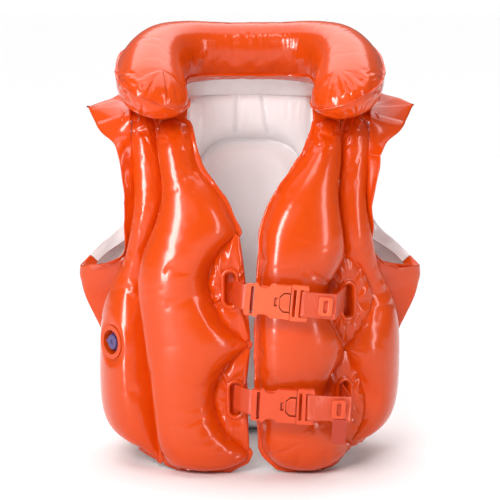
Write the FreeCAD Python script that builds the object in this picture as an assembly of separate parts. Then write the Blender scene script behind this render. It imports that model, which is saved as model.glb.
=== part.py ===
"""Inflatable child's swim vest: welded vinyl air chambers, a pillow collar, two clip buckles on
straps, and two push-in air valves. Millimetres, +Z up, the wearer faces -Y.

Left and right are as seen from the front. The origin is at the centre of the vest's outline on
the surface that it stands on.
"""
import os
from math import cos, hypot, pi, radians, sin

import FreeCAD, Part

Vec = FreeCAD.Vector

# ---- driving dimensions -------------------------------------------------------------------------
RING_HALF_WIDTH = 122.0      # middle of the chambers' wall, from the vest's centre to the side
RING_HALF_DEPTH = 92.0       # and to the front or back
RING_POWER = 2.6             # squareness of the wall's plan: 2 is an ellipse
RING_CENTRE_Y = 7.0          # the ring sits behind the origin, because the buckles stand proud
LEAN_START = 200.0           # above this height the front leans back towards the shoulders
LEAN_TOP = 344.0
LEAN_BACK = 32.0             # how far it has leaned at the top
CHAMBER_TOP = 341.0
PUFF_OUT = 30.0              # how far a full-width chamber bulges outwards from the wall
PUFF_IN = 27.0               # and inwards
FULL_WIDTH = 76.0            # a chamber this wide bulges fully
FILM = 1.2                   # welded film, two layers, as modelled
LINER_GAP = 1.4              # between a chamber and the film that lines it
GAP = 1.5                    # between a chamber and the film beside it

NECK_ROLL_LOW = 314.0
NECK_ROLL_TOP = 365.0
NECK_ROLL_HALF = 64.0

COLLAR_BACK_Y = 62.0
COLLAR_BACK_Z = 406.0
COLLAR_RADIUS = 29.0
COLLAR_HINGE = Vec(0, 76, 374)

STRAP_WIDTH = 25.0
STRAP_THICK = 1.4

BUCKLE_BACK_Y = -121.0       # the buckles' back faces
SOCKET_LENGTH = 43.0
SOCKET_HALF = 16.0
SOCKET_THICK = 9.0
SOCKET_WALL = 1.8
CLIP_FRAME_LENGTH = 16.6
CLIP_FRAME_HALF = 17.0
CLIP_GAP = 0.4
BAR_SLOT_HALF = 13.0

VALVE_S = -129.0             # round the wall from the front centre
VALVE_HEIGHT = 124.0
VALVE_DISC_RADIUS = 17.0
VALVE_CUP_RADIUS = 12.0
VALVE_CUP_DEPTH = 9.0
VALVE_FLANGE_RADIUS = 10.0
VALVE_STEM_RADIUS = 5.0
VALVE_BORE_RADIUS = 3.2
VALVE_PLAY = 0.3             # between a valve's sliding parts

nodes = {}


def add(name, shape):
    """Keeps a finished shape as the node of that name."""
    nodes[name] = shape


# ---- the wall: a ring in plan that the chambers are built on -----------------------------------
def superellipse(count=2000):
    """Points of a quarter of the ring, from the front centre to the side, and their distance along it."""
    points, along = [], [0.0]
    for i in range(count + 1):
        a = 0.5 * pi * i / count
        points.append((RING_HALF_WIDTH * sin(a) ** (2 / RING_POWER),
                       -RING_HALF_DEPTH * cos(a) ** (2 / RING_POWER)))
    for p, q in zip(points, points[1:]):
        along.append(along[-1] + hypot(q[0] - p[0], q[1] - p[1]))
    return points, along


QUARTER, ALONG = superellipse()
SIDE_S = ALONG[-1]           # distance along the ring from the front centre to the side


def quarter_point(s):
    """(x, y, outward x, outward y) of the quarter ring at distance s from the front centre."""
    low, high = 0, len(ALONG) - 1
    while high - low > 1:
        mid = (low + high) // 2
        if ALONG[mid] <= s:
            low = mid
        else:
            high = mid
    share = (s - ALONG[low]) / (ALONG[high] - ALONG[low])
    (x0, y0), (x1, y1) = QUARTER[low], QUARTER[high]
    x, y = x0 + share * (x1 - x0), y0 + share * (y1 - y0)
    gx = abs(x / RING_HALF_WIDTH) ** (RING_POWER - 1) / RING_HALF_WIDTH
    gy = abs(y / RING_HALF_DEPTH) ** (RING_POWER - 1) / RING_HALF_DEPTH
    size = hypot(gx, gy) or 1.0
    return x, y, gx / size, -gy / size


def lean(z, y):
    """How far back the wall has leaned at height z. The back half stays upright."""
    if z <= LEAN_START or y > 0:
        return 0.0
    return LEAN_BACK * ((z - LEAN_START) / (LEAN_TOP - LEAN_START)) ** 2


def ring_point(s, z, out):
    """A point at signed distance s round the ring from the front centre, right being positive, at
    height z, and out millimetres outside the wall."""
    away = abs(s)
    mirrored = away > SIDE_S
    x, y, nx, ny = quarter_point(2 * SIDE_S - away if mirrored else away)
    if mirrored:
        y, ny = -y, -ny
    if s < 0:
        x, nx = -x, -nx
    return Vec(x + nx * out, y + ny * out + lean(z, y) + RING_CENTRE_Y, z)


def s_of_x(x):
    """The distance along the front of the ring to the wall's point at that x."""
    best = min(range(len(QUARTER)), key=lambda i: abs(QUARTER[i][0] - abs(x)))
    return ALONG[best] if x >= 0 else -ALONG[best]


def between(rows, z, column):
    """The value of a column of rows, whose first column is the height, at height z."""
    for low, high in zip(rows, rows[1:]):
        if low[0] <= z <= high[0]:
            return low[column] + (high[column] - low[column]) * (z - low[0]) / (high[0] - low[0])
    return rows[0][column] if z < rows[0][0] else rows[-1][column]


# ---- shapes ---------------------------------------------------------------------------------------
def cell_section(z, s0, s1, share=1.0, side_points=7):
    """The closed outline of a chamber at height z: two bulged films that meet at s0 and s1."""
    fullness = share * min(1.0, abs(s1 - s0) / FULL_WIDTH) ** 0.7
    middle, half = 0.5 * (s0 + s1), 0.5 * (s1 - s0)
    points = []
    for i in range(2 * side_points):
        a = pi * i / side_points
        bulge = (PUFF_OUT if sin(a) >= 0 else PUFF_IN) * fullness * sin(a)
        points.append(ring_point(middle + half * cos(a), z, bulge))
    curve = Part.BSplineCurve()
    curve.interpolate(points, PeriodicFlag=True)
    return Part.Wire([curve.toShape()])


def cell(rows):
    """An air chamber: a ruled loft through its outline at each row's height."""
    return Part.makeLoft([cell_section(*row) for row in rows], True, True)


def solid_of(triangles):
    """A closed solid from its triangles, each three points."""
    faces = [Part.Face(Part.makePolygon([a, b, c, a])) for a, b, c in triangles]
    shell = Part.Compound(faces)
    shell.sewShape()
    solid = Part.makeSolid(Part.Shell(shell.Faces))
    if solid.Volume < 0:
        solid.reverse()
    return solid


def film(grid, thick=FILM, closed=False):
    """A sheet of film through a grid of points, given thickness on both sides. A closed one joins its last
    row to its first."""
    rows, columns = len(grid), len(grid[0])

    def normal(i, j):
        before, after = (i - 1) % rows, (i + 1) % rows
        if not closed:
            before, after = max(i - 1, 0), min(i + 1, rows - 1)
        along = grid[after][j] - grid[before][j]
        across = grid[i][min(j + 1, columns - 1)] - grid[i][max(j - 1, 0)]
        n = along.cross(across)
        return n.normalize()

    sides = []
    for sign in (0.5, -0.5):
        sides.append([[grid[i][j] + normal(i, j) * (sign * thick) for j in range(columns)]
                      for i in range(rows)])
    triangles = []

    def quad(a, b, c, d):
        triangles.append((a, b, c))
        triangles.append((a, c, d))

    steps = range(rows if closed else rows - 1)
    for i in steps:
        k = (i + 1) % rows
        for j in range(columns - 1):
            for side in sides:
                quad(side[i][j], side[i][j + 1], side[k][j + 1], side[k][j])
        for j in (0, columns - 1):
            quad(sides[0][i][j], sides[0][k][j], sides[1][k][j], sides[1][i][j])
    if not closed:
        for i in (0, rows - 1):
            for j in range(columns - 1):
                quad(sides[0][i][j], sides[0][i][j + 1], sides[1][i][j + 1], sides[1][i][j])
    return solid_of(triangles)


def smooth_loop(points, count):
    """count points spaced along a smooth closed curve through the given ones."""
    curve = Part.BSplineCurve()
    curve.interpolate(points, PeriodicFlag=True)
    first, last = curve.FirstParameter, curve.LastParameter
    return [curve.value(first + (last - first) * i / count) for i in range(count)]


def frame_matrix(origin, u, v, w):
    """The placement that carries local axes to u, v and w at origin."""
    return FreeCAD.Matrix(u.x, v.x, w.x, origin.x,
                          u.y, v.y, w.y, origin.y,
                          u.z, v.z, w.z, origin.z,
                          0, 0, 0, 1)


def placed(shape, matrix):
    """A copy of the shape carried by a rigid matrix."""
    moved = shape.copy()
    moved.Placement = FreeCAD.Placement(matrix)
    return moved


def block(u0, u1, v0, v1, w0, w1):
    """A box between two corners."""
    return Part.makeBox(u1 - u0, v1 - v0, w1 - w0, Vec(u0, v0, w0))


def prism(points, low, high):
    """A flat outline of (u, v) points, solid from w low to high."""
    corners = [Vec(u, v, low) for u, v in points]
    return Part.Face(Part.makePolygon(corners + corners[:1])).extrude(Vec(0, 0, high - low))


def stadium(half_width, half_height, low, high):
    """A tall slot with round ends, solid from w low to high."""
    straight = half_height - half_width
    ends = [Part.makeCylinder(half_width, high - low, Vec(0, v, low)) for v in (-straight, straight)]
    middle = block(-half_width, half_width, -straight, straight, low, high)
    return middle.fuse(ends).removeSplitter()


def rounded(shape, radius, direction):
    """The shape with its straight edges along a direction rounded."""
    edges = []
    for edge in shape.Edges:
        if edge.Curve.TypeId == "Part::GeomLine" and edge.tangentAt(edge.FirstParameter).cross(
                direction).Length < 1e-6:
            edges.append(edge)
    return shape.makeFillet(radius, edges)


# ---- front chambers -------------------------------------------------------------------------------
# Each row: height, near edge's x, far edge's x. The near edge is scalloped round the strap webs.
LEFT_INNER = [(0, -80, -22), (20, -85, -4), (45, -89, -25), (75, -92, -34), (103, -95, -25),
              (128, -97, -3), (152, -99, -26), (188, -102, -40), (217, -98, -30), (237, -91, -13),
              (269, -84, -27), (300, -86, -49), (326, -89, -57), (CHAMBER_TOP, -87, -62)]
RIGHT_INNER = [(0, 34, 86), (22, 14, 97), (44, 11, 81), (70, 9, 70), (98, 8, 77), (121, 7, 89),
               (145, 8, 82), (168, 9, 72), (190, 10, 78), (212, 11, 90), (240, 13, 88),
               (269, 24, 84), (300, 46, 86), (326, 60, 87), (CHAMBER_TOP, 63, 86)]
# Each row: height, near edge's distance along the ring, far edge's distance past the side.
LEFT_OUTER = [(8, 93, -70), (27, 95, -3), (70, 99, 8), (120, 104, 10), (160, 107, 4), (180, 109, -14),
              (200, 106, -34), (217, 103, -44), (240, 96, -50), (269, 89, -56), (300, 91, -54),
              (324, 95, -50), (CHAMBER_TOP - 4, 101, -52)]
RIGHT_OUTER = [(24, 112, -8), (44, 112, 4), (70, 114, 8), (98, 104, 9), (121, 98, 10), (145, 112, 8),
               (168, 121, 0), (190, 115, -24), (212, 98, -40), (240, 94, -50), (269, 90, -56),
               (300, 92, -54), (324, 94, -50), (CHAMBER_TOP - 4, 100, -52)]


def front_rows(table, gap=GAP):
    """Inner chamber rows in distance along the ring, pulled in by half a gap on each side."""
    return [(z, s_of_x(a) + gap / 2, s_of_x(b) - gap / 2) for z, a, b in table]


def side_rows(table, hand, gap=GAP):
    """Outer chamber rows in signed distance along the ring. hand is -1 on the left and 1 on the right."""
    rows = []
    for z, near, past in table:
        ends = sorted((hand * (near + gap / 2), hand * (SIDE_S + past - gap / 2)))
        rows.append((z, ends[0], ends[1]))
    return rows


LEFT_INNER_ROWS, RIGHT_INNER_ROWS = front_rows(LEFT_INNER), front_rows(RIGHT_INNER)
LEFT_OUTER_ROWS, RIGHT_OUTER_ROWS = side_rows(LEFT_OUTER, -1), side_rows(RIGHT_OUTER, 1)
LINER_HEIGHTS = (2, 45, 90, 135, 180, 225, 270, 310, 338)


def front_liner(inner_rows, outer_rows, hand):
    """The white film that lines a front panel, inside its two chambers."""
    offset = -(PUFF_IN + LINER_GAP + FILM)
    grid = []
    for z in LINER_HEIGHTS:
        if hand < 0:
            low, high = between(outer_rows, z, 1), between(inner_rows, z, 2)
        else:
            low, high = between(inner_rows, z, 1), between(outer_rows, z, 2)
        grid.append([ring_point(low + (high - low) * j / 8, z, offset) for j in range(9)])
    return film(grid)


def front_panels():
    """The four front chambers and their linings. The valve's pocket is cut from the left outer chamber."""
    add("left_inner_chamber", cell(LEFT_INNER_ROWS))
    add("right_inner_chamber", cell(RIGHT_INNER_ROWS))
    add("left_outer_chamber", cell(LEFT_OUTER_ROWS).cut(valve_pocket(front_valve_matrix())))
    add("right_outer_chamber", cell(RIGHT_OUTER_ROWS))
    add("left_front_liner", front_liner(LEFT_INNER_ROWS, LEFT_OUTER_ROWS, -1))
    add("right_front_liner", front_liner(RIGHT_INNER_ROWS, RIGHT_OUTER_ROWS, 1))


# ---- back -----------------------------------------------------------------------------------------
BACK_ROWS = [(0, 78), (25, 102), (90, 108), (170, 106), (205, 94), (250, 82), (290, 76), (308, 62)]
ROLL_ROWS = [(0.0, 0.25), (0.14, 0.72), (0.5, 1.0), (0.86, 0.72), (1.0, 0.25)]


def back_s(across):
    """Distance along the ring of a point that far from the back's centre, right being positive."""
    return (2 * SIDE_S - abs(across)) * (1 if across >= 0 else -1)


def back_section(z, half, share=1.0, side_points=9):
    """The closed outline of a back chamber at height z."""
    points = []
    for i in range(2 * side_points):
        a = pi * i / side_points
        across = half * cos(a)
        bulge = (PUFF_OUT if sin(a) >= 0 else PUFF_IN) * share * sin(a)
        points.append(ring_point(back_s(across) if abs(across) > 1e-6 else 2 * SIDE_S, z, bulge))
    curve = Part.BSplineCurve()
    curve.interpolate(points, PeriodicFlag=True)
    return Part.Wire([curve.toShape()])


def back_panel():
    """The back chamber, the neck roll above it, and the white film that lines both."""
    add("back_chamber", Part.makeLoft([back_section(z, half, 0.93) for z, half in BACK_ROWS], True, False))
    rise = NECK_ROLL_TOP - NECK_ROLL_LOW
    sections = [back_section(NECK_ROLL_LOW + rise * t, NECK_ROLL_HALF - 4 * (1 - share), share)
                for t, share in ROLL_ROWS]
    add("neck_roll", Part.makeLoft(sections, True, False))
    offset = -(PUFF_IN + LINER_GAP + FILM)
    grid = []
    for z in (2, 50, 100, 150, 200, 250, 300, NECK_ROLL_LOW + 25, NECK_ROLL_TOP - 4):
        half = between(BACK_ROWS, z, 1) if z < 305 else NECK_ROLL_HALF
        steps = [half * (j / 4 - 1) for j in range(9)]
        grid.append([ring_point(back_s(a) if abs(a) > 1e-6 else 2 * SIDE_S, z, offset) for a in steps])
    add("back_liner", film(grid))


# ---- film round the armholes, over the shoulders and down the sides ----------------------------
# One point per station round the armhole, from the shoulder's front down and up the back, on the
# left: where the film leaves the vest, and its free edge.
ARMHOLE_ROOT = [(-127, -26, 357), (-127, -36, 335), (-124, -44, 305), (-122, -46, 270),
                (-127, -42, 238), (-139, -28, 208), (-153, 2, 192), (-146, 40, 198),
                (-116, 80, 222), (-100, 91, 252), (-90, 96, 300), (-118, 78, 342),
                (-127, 38, 367), (-128, 6, 368)]
ARMHOLE_RIM = [(-147, -22, 346), (-137, -46, 325), (-131, -54, 300), (-130, -56, 266),
               (-135, -48, 238), (-149, -28, 217), (-171, 6, 199), (-161, 44, 211),
               (-143, 80, 229), (-135, 97, 257), (-133, 99, 300), (-135, 80, 350),
               (-141, 42, 375), (-163, 6, 357)]
ARMHOLE_STATIONS = 28


def mirrored(points, hand):
    """Left-hand points as vectors, on the left for hand -1 and on the right for 1."""
    return [Vec(-hand * x, y, z) for x, y, z in points]


def armhole_flange(hand):
    """The loose welded edge round an armhole: a closed strip of film."""
    root = smooth_loop(mirrored(ARMHOLE_ROOT, hand), ARMHOLE_STATIONS)
    rim = smooth_loop(mirrored(ARMHOLE_RIM, hand), ARMHOLE_STATIONS)
    grid = [[a, (a + b) * 0.5, b] for a, b in zip(root, rim)]
    return film(grid, closed=True)


def shoulder_web(hand):
    """The film over a shoulder, from the front chambers' tops to the neck roll, under the collar."""
    grid = []
    for y, crest in ((-36, 344.5), (-28, 347), (-16, 350), (0, 354), (24, 357), (48, 358), (70, 357)):
        grid.append([Vec(hand * across, y, crest + lift)
                     for across, lift in ((66, 0.0), (82, 0.0), (98, -0.5), (112, 0.5), (123, 2.0))])
    return film(grid)


def side_web(hand):
    """The uninflated film below an armhole that joins the front panel to the back, with its side seam."""
    grid = []
    for z, flare in ((34, 4), (60, 2), (90, 3), (110, 9), (125, 19), (140, 32), (156, 42), (172, 45), (186, 46)):
        row = []
        for t in (0.0, 0.25, 0.5, 0.75, 1.0):
            s = SIDE_S + 13 + (SIDE_S - 130) * t
            row.append(ring_point(hand * s, z, flare * sin(pi * (0.1 + 0.8 * t ** 0.8))))
        grid.append(row)
    return film(grid)


def side_seam(hand):
    """The upright welded lip that stands out from a side web."""
    grid = []
    for z, reach in ((28, 27), (40, 30), (60, 28), (80, 25)):
        base = ring_point(hand * (SIDE_S + 34), z, 6)
        grid.append([base + Vec(hand * (reach - 6) * t, 3 * t, 0) for t in (0.0, 0.5, 1.0)])
    return film(grid)


def films():
    """Every loose welded film, left and right, and the web that the collar hangs on."""
    for name, hand in (("left", -1), ("right", 1)):
        add(name + "_armhole_flange", armhole_flange(hand))
        add(name + "_shoulder_web", shoulder_web(hand))
        add(name + "_side_web", side_web(hand))
        add(name + "_side_seam", side_seam(hand))
    top, bottom = COLLAR_HINGE + Vec(0, 0, -1.0), Vec(0, 93, NECK_ROLL_TOP + 1.5)
    add("neck_web", film([[top + (bottom - top) * t + Vec(x, 0, 0) for t in (0.0, 0.5, 1.0)]
                          for x in (-62, -31, 0, 31, 62)]))


# ---- webs with strap slots -------------------------------------------------------------------------
SLOT_HALF_WIDTH = 5.5
SLOT_HALF_HEIGHT = 16.5
RIM_WIDTH = 3.2
RIM_THICK = 3.0
# name: centre x and height, turn about the upright, and the outline about the centre (u, v).
WEBS = {
    "left_upper": (-19.0, 183.0, -3.0,
                   [(-18, 5), (-9.5, 34), (6, 46), (15, 20), (17, -20), (12, -46), (-6, -31)]),
    "left_lower": (-14.0, 74.0, -3.0,
                   [(-18, 1), (-10, 28), (6, 44), (12, 20), (12, -20), (9, -42), (-9, -29)]),
    "right_upper": (95.0, 168.0, 24.0,
                    [(-20, 0), (-14.5, 21), (-4, 36), (4, 36), (15, 22), (22, 0), (14, -23),
                     (4, -38), (-4, -38), (-11.5, -24)]),
    "right_lower": (92.0, 72.0, 24.0,
                    [(-15, -2), (-9, 25), (-2.5, 38), (3, 38), (9, 26), (17.5, -2), (15, -26),
                     (7, -42), (-6, -38), (-9, -27)]),
}


def web_matrix(key):
    """Placement of a web: u across it, v up, w out of the vest."""
    x, z, turn, _ = WEBS[key]
    centre = ring_point(s_of_x(x), z, 0.0)
    a = radians(turn)
    return frame_matrix(centre, Vec(cos(a), sin(a), 0), Vec(0, 0, 1), Vec(sin(a), -cos(a), 0))


def slot_webs():
    """The flat welded islands in the front panels and the rims moulded round their slots."""
    for key, (_, _, _, outline) in WEBS.items():
        matrix = web_matrix(key)
        sheet = prism(outline, -FILM / 2, FILM / 2)
        hole = stadium(SLOT_HALF_WIDTH, SLOT_HALF_HEIGHT, -9, 9)
        add(key + "_slot_web", placed(sheet.cut(hole), matrix))
        face = FILM / 2 + 0.1
        rim = stadium(SLOT_HALF_WIDTH + RIM_WIDTH, SLOT_HALF_HEIGHT + RIM_WIDTH, face, face + RIM_THICK)
        add(key + "_slot_rim", placed(rim.cut(hole), matrix))


# ---- buckles ----------------------------------------------------------------------------------------
# name: x and height of the socket's closed end, and how far the buckle dips to the right.
BUCKLES = {"upper": (-5.0, 180.0, 5.0), "lower": (1.0, 78.0, 2.5)}
SCALLOP_AT = 18.0
SCALLOP_DEPTH = 4.0
SCALLOP_HALF = 6.5
BUTTON = [(33.2, -5.2), (33.2, 5.2), (37.2, 8.9), (43.0, 8.9), (43.0, -8.9), (37.2, -8.9)]
BUTTON_PIVOT = (43.2, 5.0)   # u and w
ARM_INNER, ARM_OUTER = 9.8, 13.6
ARM_TIP, ARM_ROOT = 13.0, 43.0
ARM_PIVOT = (42.8, 11.7)     # u and v
BAR_START, BAR_END = 48.4, 52.0


def buckle_matrix(key):
    """Placement of a buckle: u along the strap to the right, v up, w out of the vest."""
    x, z, dip = BUCKLES[key]
    a = radians(-dip)
    return frame_matrix(Vec(x, BUCKLE_BACK_Y, z), Vec(cos(a), 0, sin(a)), Vec(-sin(a), 0, cos(a)),
                        Vec(0, -1, 0))


def socket():
    """The buckle's hollow half: strap bar, scalloped grips, latch window and thumb cut-out."""
    tail = rounded(block(0, 14, -14.8, 14.8, 0, SOCKET_THICK), 2.5, Vec(0, 0, 1))
    shell = tail.fuse(block(9, SOCKET_LENGTH, -SOCKET_HALF, SOCKET_HALF, 0, SOCKET_THICK))
    shell = shell.removeSplitter()
    radius = (SCALLOP_HALF ** 2 + SCALLOP_DEPTH ** 2) / (2 * SCALLOP_DEPTH)
    for side in (-1, 1):
        centre = Vec(SCALLOP_AT, side * (SOCKET_HALF - SCALLOP_DEPTH + radius), -1)
        shell = shell.cut(Part.makeCylinder(radius, SOCKET_THICK + 2, centre))
    shell = shell.cut(block(9.8, SOCKET_LENGTH + 1, -14, 14, SOCKET_WALL, SOCKET_THICK - SOCKET_WALL))
    shell = shell.cut(block(5.2, 8.2, -BAR_SLOT_HALF, BAR_SLOT_HALF, -1, SOCKET_THICK + 1))
    front = SOCKET_THICK - SOCKET_WALL - 0.5
    shell = shell.cut(block(28, 31, -4, 4, front, SOCKET_THICK + 1))
    opening = [(32.7, -5.6), (32.7, 5.6), (37, 9.5), (44, 9.5), (44, -9.5), (37, -9.5)]
    return shell.cut(prism(opening, front, SOCKET_THICK + 1))


def clip_frame():
    """The clip's ladder frame for the strap, with the two rails that guide it into the socket."""
    start = SOCKET_LENGTH + CLIP_GAP
    end = start + CLIP_FRAME_LENGTH
    frame = rounded(block(start, end, -CLIP_FRAME_HALF, CLIP_FRAME_HALF, 1, 8), 1.6, Vec(0, 0, 1))
    frame = frame.cut(block(start + 2.2, BAR_START, -BAR_SLOT_HALF, BAR_SLOT_HALF, 0, 9))
    frame = frame.cut(block(BAR_END, BAR_END + 3, -BAR_SLOT_HALF, BAR_SLOT_HALF, 0, 9))
    for side in (-1, 1):
        low, high = sorted((side * 4.6, side * 6.9))
        frame = frame.fuse(block(20, start + 1, low, high, 2.2, 3.6))
    return frame.removeSplitter()


def release_button():
    """The thumb pad that fills the socket's cut-out, with the tongue that reaches under the window."""
    pad = prism(BUTTON, 5.0, 8.8)
    grooves = [block(u, u + 0.7, -5, 5, 8.3, 9.5) for u in (35.2, 37.2, 39.2, 41.2)]
    tongue = block(28.4, 33.4, -3.6, 3.6, 5.0, 6.9)
    return pad.cut(Part.makeCompound(grooves)).fuse(tongue).removeSplitter()


def latch_arm(side):
    """One sprung side arm, with its rounded nose in the socket's scallop."""
    outline = [(ARM_ROOT, ARM_INNER), (ARM_ROOT, ARM_OUTER - 0.8), (26, ARM_OUTER - 1.6),
               (23.5, ARM_OUTER), (14.5, ARM_OUTER), (ARM_TIP, ARM_OUTER - 1.6), (ARM_TIP, ARM_INNER)]
    arm = prism([(u, side * v) for u, v in outline], 2.4, 6.6)
    return rounded(arm, 0.6, Vec(0, 0, 1))


def buckles():
    """Both buckles, each a socket, a clip frame, a release button and two latch arms."""
    for key in BUCKLES:
        matrix = buckle_matrix(key)
        add(key + "_buckle_socket", placed(socket(), matrix))
        add(key + "_clip_frame", placed(clip_frame(), matrix))
        add(key + "_release_button", placed(release_button(), matrix))
        add(key + "_latch_arm_top", placed(latch_arm(1), matrix))
        add(key + "_latch_arm_bottom", placed(latch_arm(-1), matrix))


# ---- straps -------------------------------------------------------------------------------------------
def ribbon(points, width, thick=STRAP_THICK):
    """A strap whose edge-on line is the (u, w) points, thick thick, and width wide about v 0."""
    left, right = [], []
    for i, (u, w) in enumerate(points):
        before, after = points[max(i - 1, 0)], points[min(i + 1, len(points) - 1)]
        du, dw = after[0] - before[0], after[1] - before[1]
        size = hypot(du, dw)
        nu, nw = -dw / size * thick / 2, du / size * thick / 2
        left.append(Vec(u + nu, -width / 2, w + nw))
        right.append(Vec(u - nu, -width / 2, w - nw))
    outline = Part.makePolygon(left + right[::-1] + left[:1])
    return Part.Face(outline).extrude(Vec(0, width, 0))


KEEPERS = {"upper": 76.0, "lower": 83.0}    # each keeper's distance along the strap from the socket's end


def strap_route(key):
    """The long strap's edge-on line in its buckle's frame: round the clip's bar, over the chamber and down
    towards the slot."""
    matrix = buckle_matrix(key)
    slot = web_matrix("right_" + key)
    goal = matrix.inverse().multVec(slot.multVec(Vec(-2.5, 0, 6.5)))
    start = BAR_END + 1.5
    return [(start, 2.0), (start + 0.6, 8.6), (start + 6, 9.4), (KEEPERS[key] + 8, 8.6),
            (KEEPERS[key] + 11, 4.0), (goal.x, goal.z)]


def straps():
    """The long strap of each clip with its keeper and tail, and the short strap of each socket."""
    for key in BUCKLES:
        matrix = buckle_matrix(key)
        route = strap_route(key)
        add(key + "_strap", placed(ribbon(route, STRAP_WIDTH - 1), matrix))
        u, w = KEEPERS[key], route[3][1] + 1.6
        keeper = rounded(block(u - 6, u + 7, -9, 9, w, w + 2.2), 3.0, Vec(0, 0, 1))
        keeper = keeper.cut(stadium_at(u + 0.5, 2.0, 6.0, w - 1, w + 4))
        add(key + "_strap_keeper", placed(keeper, matrix))
        if key == "lower":
            tail = block(u - 5, u + 8, -34, -9.6, w - 0.2, w + 1.0)
            add("lower_strap_tail", placed(rounded(tail, 2.0, Vec(0, 0, 1)), matrix))
    for key, reach, depth in (("upper", -10.5, -24.0), ("lower", -16.0, -25.5)):
        matrix = buckle_matrix(key)
        route = [(6.7, 4.5), (6.7, -0.8), (2.5, -2.8), (-3, -5.5), (reach, depth)]
        add(key + "_socket_strap", placed(ribbon(route, STRAP_WIDTH - 1), matrix))


def stadium_at(u, half_width, half_height, low, high):
    """A slot with round ends, centred at u on v 0."""
    hole = stadium(half_width, half_height, low, high)
    hole.translate(Vec(u, 0, 0))
    return hole


# ---- valves ---------------------------------------------------------------------------------------------
def valve_matrix(point, normal):
    """Placement of a valve whose local w axis points out of the chamber along normal."""
    w = normal.normalize()
    u = Vec(0, 0, 1).cross(w).normalize()
    return frame_matrix(point, u, w.cross(u), w)


def front_valve_matrix():
    """The vest's valve, low on the left outer chamber."""
    z = VALVE_HEIGHT
    near, far = (between(LEFT_OUTER_ROWS, z, k) for k in (1, 2))
    middle, half = 0.5 * (near + far), 0.5 * (far - near)

    def skin(s):
        return ring_point(s, z, PUFF_OUT * (1 - ((s - middle) / half) ** 2) ** 0.5)

    across = skin(VALVE_S + 1.0) - skin(VALVE_S - 1.0)
    return valve_matrix(skin(VALVE_S), across.cross(Vec(0, 0, 1)))


def collar_valve_matrix():
    """The collar's valve, on its back."""
    return valve_matrix(Vec(46, COLLAR_BACK_Y + COLLAR_RADIUS - 1.0, COLLAR_BACK_Z), Vec(0, 1, 0))


def valve_pocket(matrix):
    """The space that a valve needs in its chamber."""
    disc = Part.makeCylinder(VALVE_DISC_RADIUS + 0.6, 30, Vec(0, 0, -2.0))
    cup = Part.makeCylinder(VALVE_CUP_RADIUS + 1.6, 14, Vec(0, 0, -VALVE_CUP_DEPTH - 3.0))
    return placed(disc.fuse(cup), matrix)


def valve_parts():
    """Boot, stem, flap and plug about a common axis, with w out of the chamber and 0 at the boot's face."""
    boot = Part.makeCylinder(VALVE_DISC_RADIUS, 1.2, Vec(0, 0, -1.2))
    boot = boot.fuse(Part.makeCylinder(VALVE_CUP_RADIUS + 0.9, VALVE_CUP_DEPTH, Vec(0, 0, -VALVE_CUP_DEPTH)))
    boot = boot.cut(Part.makeCylinder(VALVE_CUP_RADIUS, VALVE_CUP_DEPTH, Vec(0, 0, 1 - VALVE_CUP_DEPTH)))
    boot = boot.cut(Part.makeCylinder(VALVE_STEM_RADIUS + VALVE_PLAY, 4, Vec(0, 0, -VALVE_CUP_DEPTH - 1)))
    floor = 1.0 + VALVE_PLAY - VALVE_CUP_DEPTH
    stem = Part.makeCylinder(VALVE_FLANGE_RADIUS, 1.2, Vec(0, 0, floor))
    stem = stem.fuse(Part.makeCylinder(VALVE_STEM_RADIUS, 6.2, Vec(0, 0, floor - 2.2)))
    stem = stem.cut(Part.makeCylinder(VALVE_BORE_RADIUS, 12, Vec(0, 0, floor - 4)))
    flap = Part.makeCylinder(VALVE_STEM_RADIUS - 0.6, 0.5, Vec(0, 0, floor - 2.9))
    top = floor + 4.0 + VALVE_PLAY
    plug = Part.makeCylinder(7.2, 1.6, Vec(0, 0, top))
    plug = plug.fuse(Part.makeCylinder(VALVE_BORE_RADIUS - VALVE_PLAY, 3.4, Vec(0, 0, top - 3.4)))
    plug = plug.cut(Part.makeCylinder(2.2, 0.8, Vec(0, 0, top + 0.8)))
    lip = Part.makeBox(4.5, 3.2, 1.2, Vec(-9.4, -1.6, top + 0.2))
    return {"boot": boot.removeSplitter(), "stem": stem.removeSplitter(), "flap": flap,
            "plug": plug.fuse(lip).removeSplitter()}


def valves():
    """The vest's valve and the collar's, the same parts at two places."""
    for prefix, matrix in (("", front_valve_matrix()), ("collar_", collar_valve_matrix())):
        for name, shape in valve_parts().items():
            add(prefix + "valve_" + name, placed(shape, matrix))


# ---- collar -------------------------------------------------------------------------------------------
# Each row: distance from the middle, y, height and radius of the collar's tube.
COLLAR_PATH = [(0, COLLAR_BACK_Y, COLLAR_BACK_Z, COLLAR_RADIUS), (36, 61, COLLAR_BACK_Z, COLLAR_RADIUS),
               (66, 51, 405, 31), (88, 28, 400, 33), (97, -4, 390.5, 34), (97, -34, 381, 33),
               (93.5, -60, 374, 26), (88, -82, 368, 18), (83, -96, 363, 9)]


def collar_chamber():
    """The pillow collar: a round tube along a horseshoe that narrows to each arm's end."""
    rows = [(-x, y, z, r) for x, y, z, r in reversed(COLLAR_PATH[1:])] + COLLAR_PATH
    centres = [Vec(x, y, z) for x, y, z, _ in rows]
    wires = []
    for i, centre in enumerate(centres):
        way = centres[min(i + 1, len(rows) - 1)] - centres[max(i - 1, 0)]
        wires.append(Part.Wire([Part.makeCircle(rows[i][3], centre, way.normalize())]))
    return Part.makeLoft(wires, True, False)


def collar():
    """The collar's chamber with its valve pocket, and the strip by which it hangs on the neck web."""
    add("collar_chamber", collar_chamber().cut(valve_pocket(collar_valve_matrix())))
    low, high = COLLAR_HINGE.z + 0.6, COLLAR_HINGE.z + 5.4
    add("collar_strip", block(-62, 62, COLLAR_HINGE.y - FILM / 2, COLLAR_HINGE.y + FILM / 2, low, high))


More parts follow.
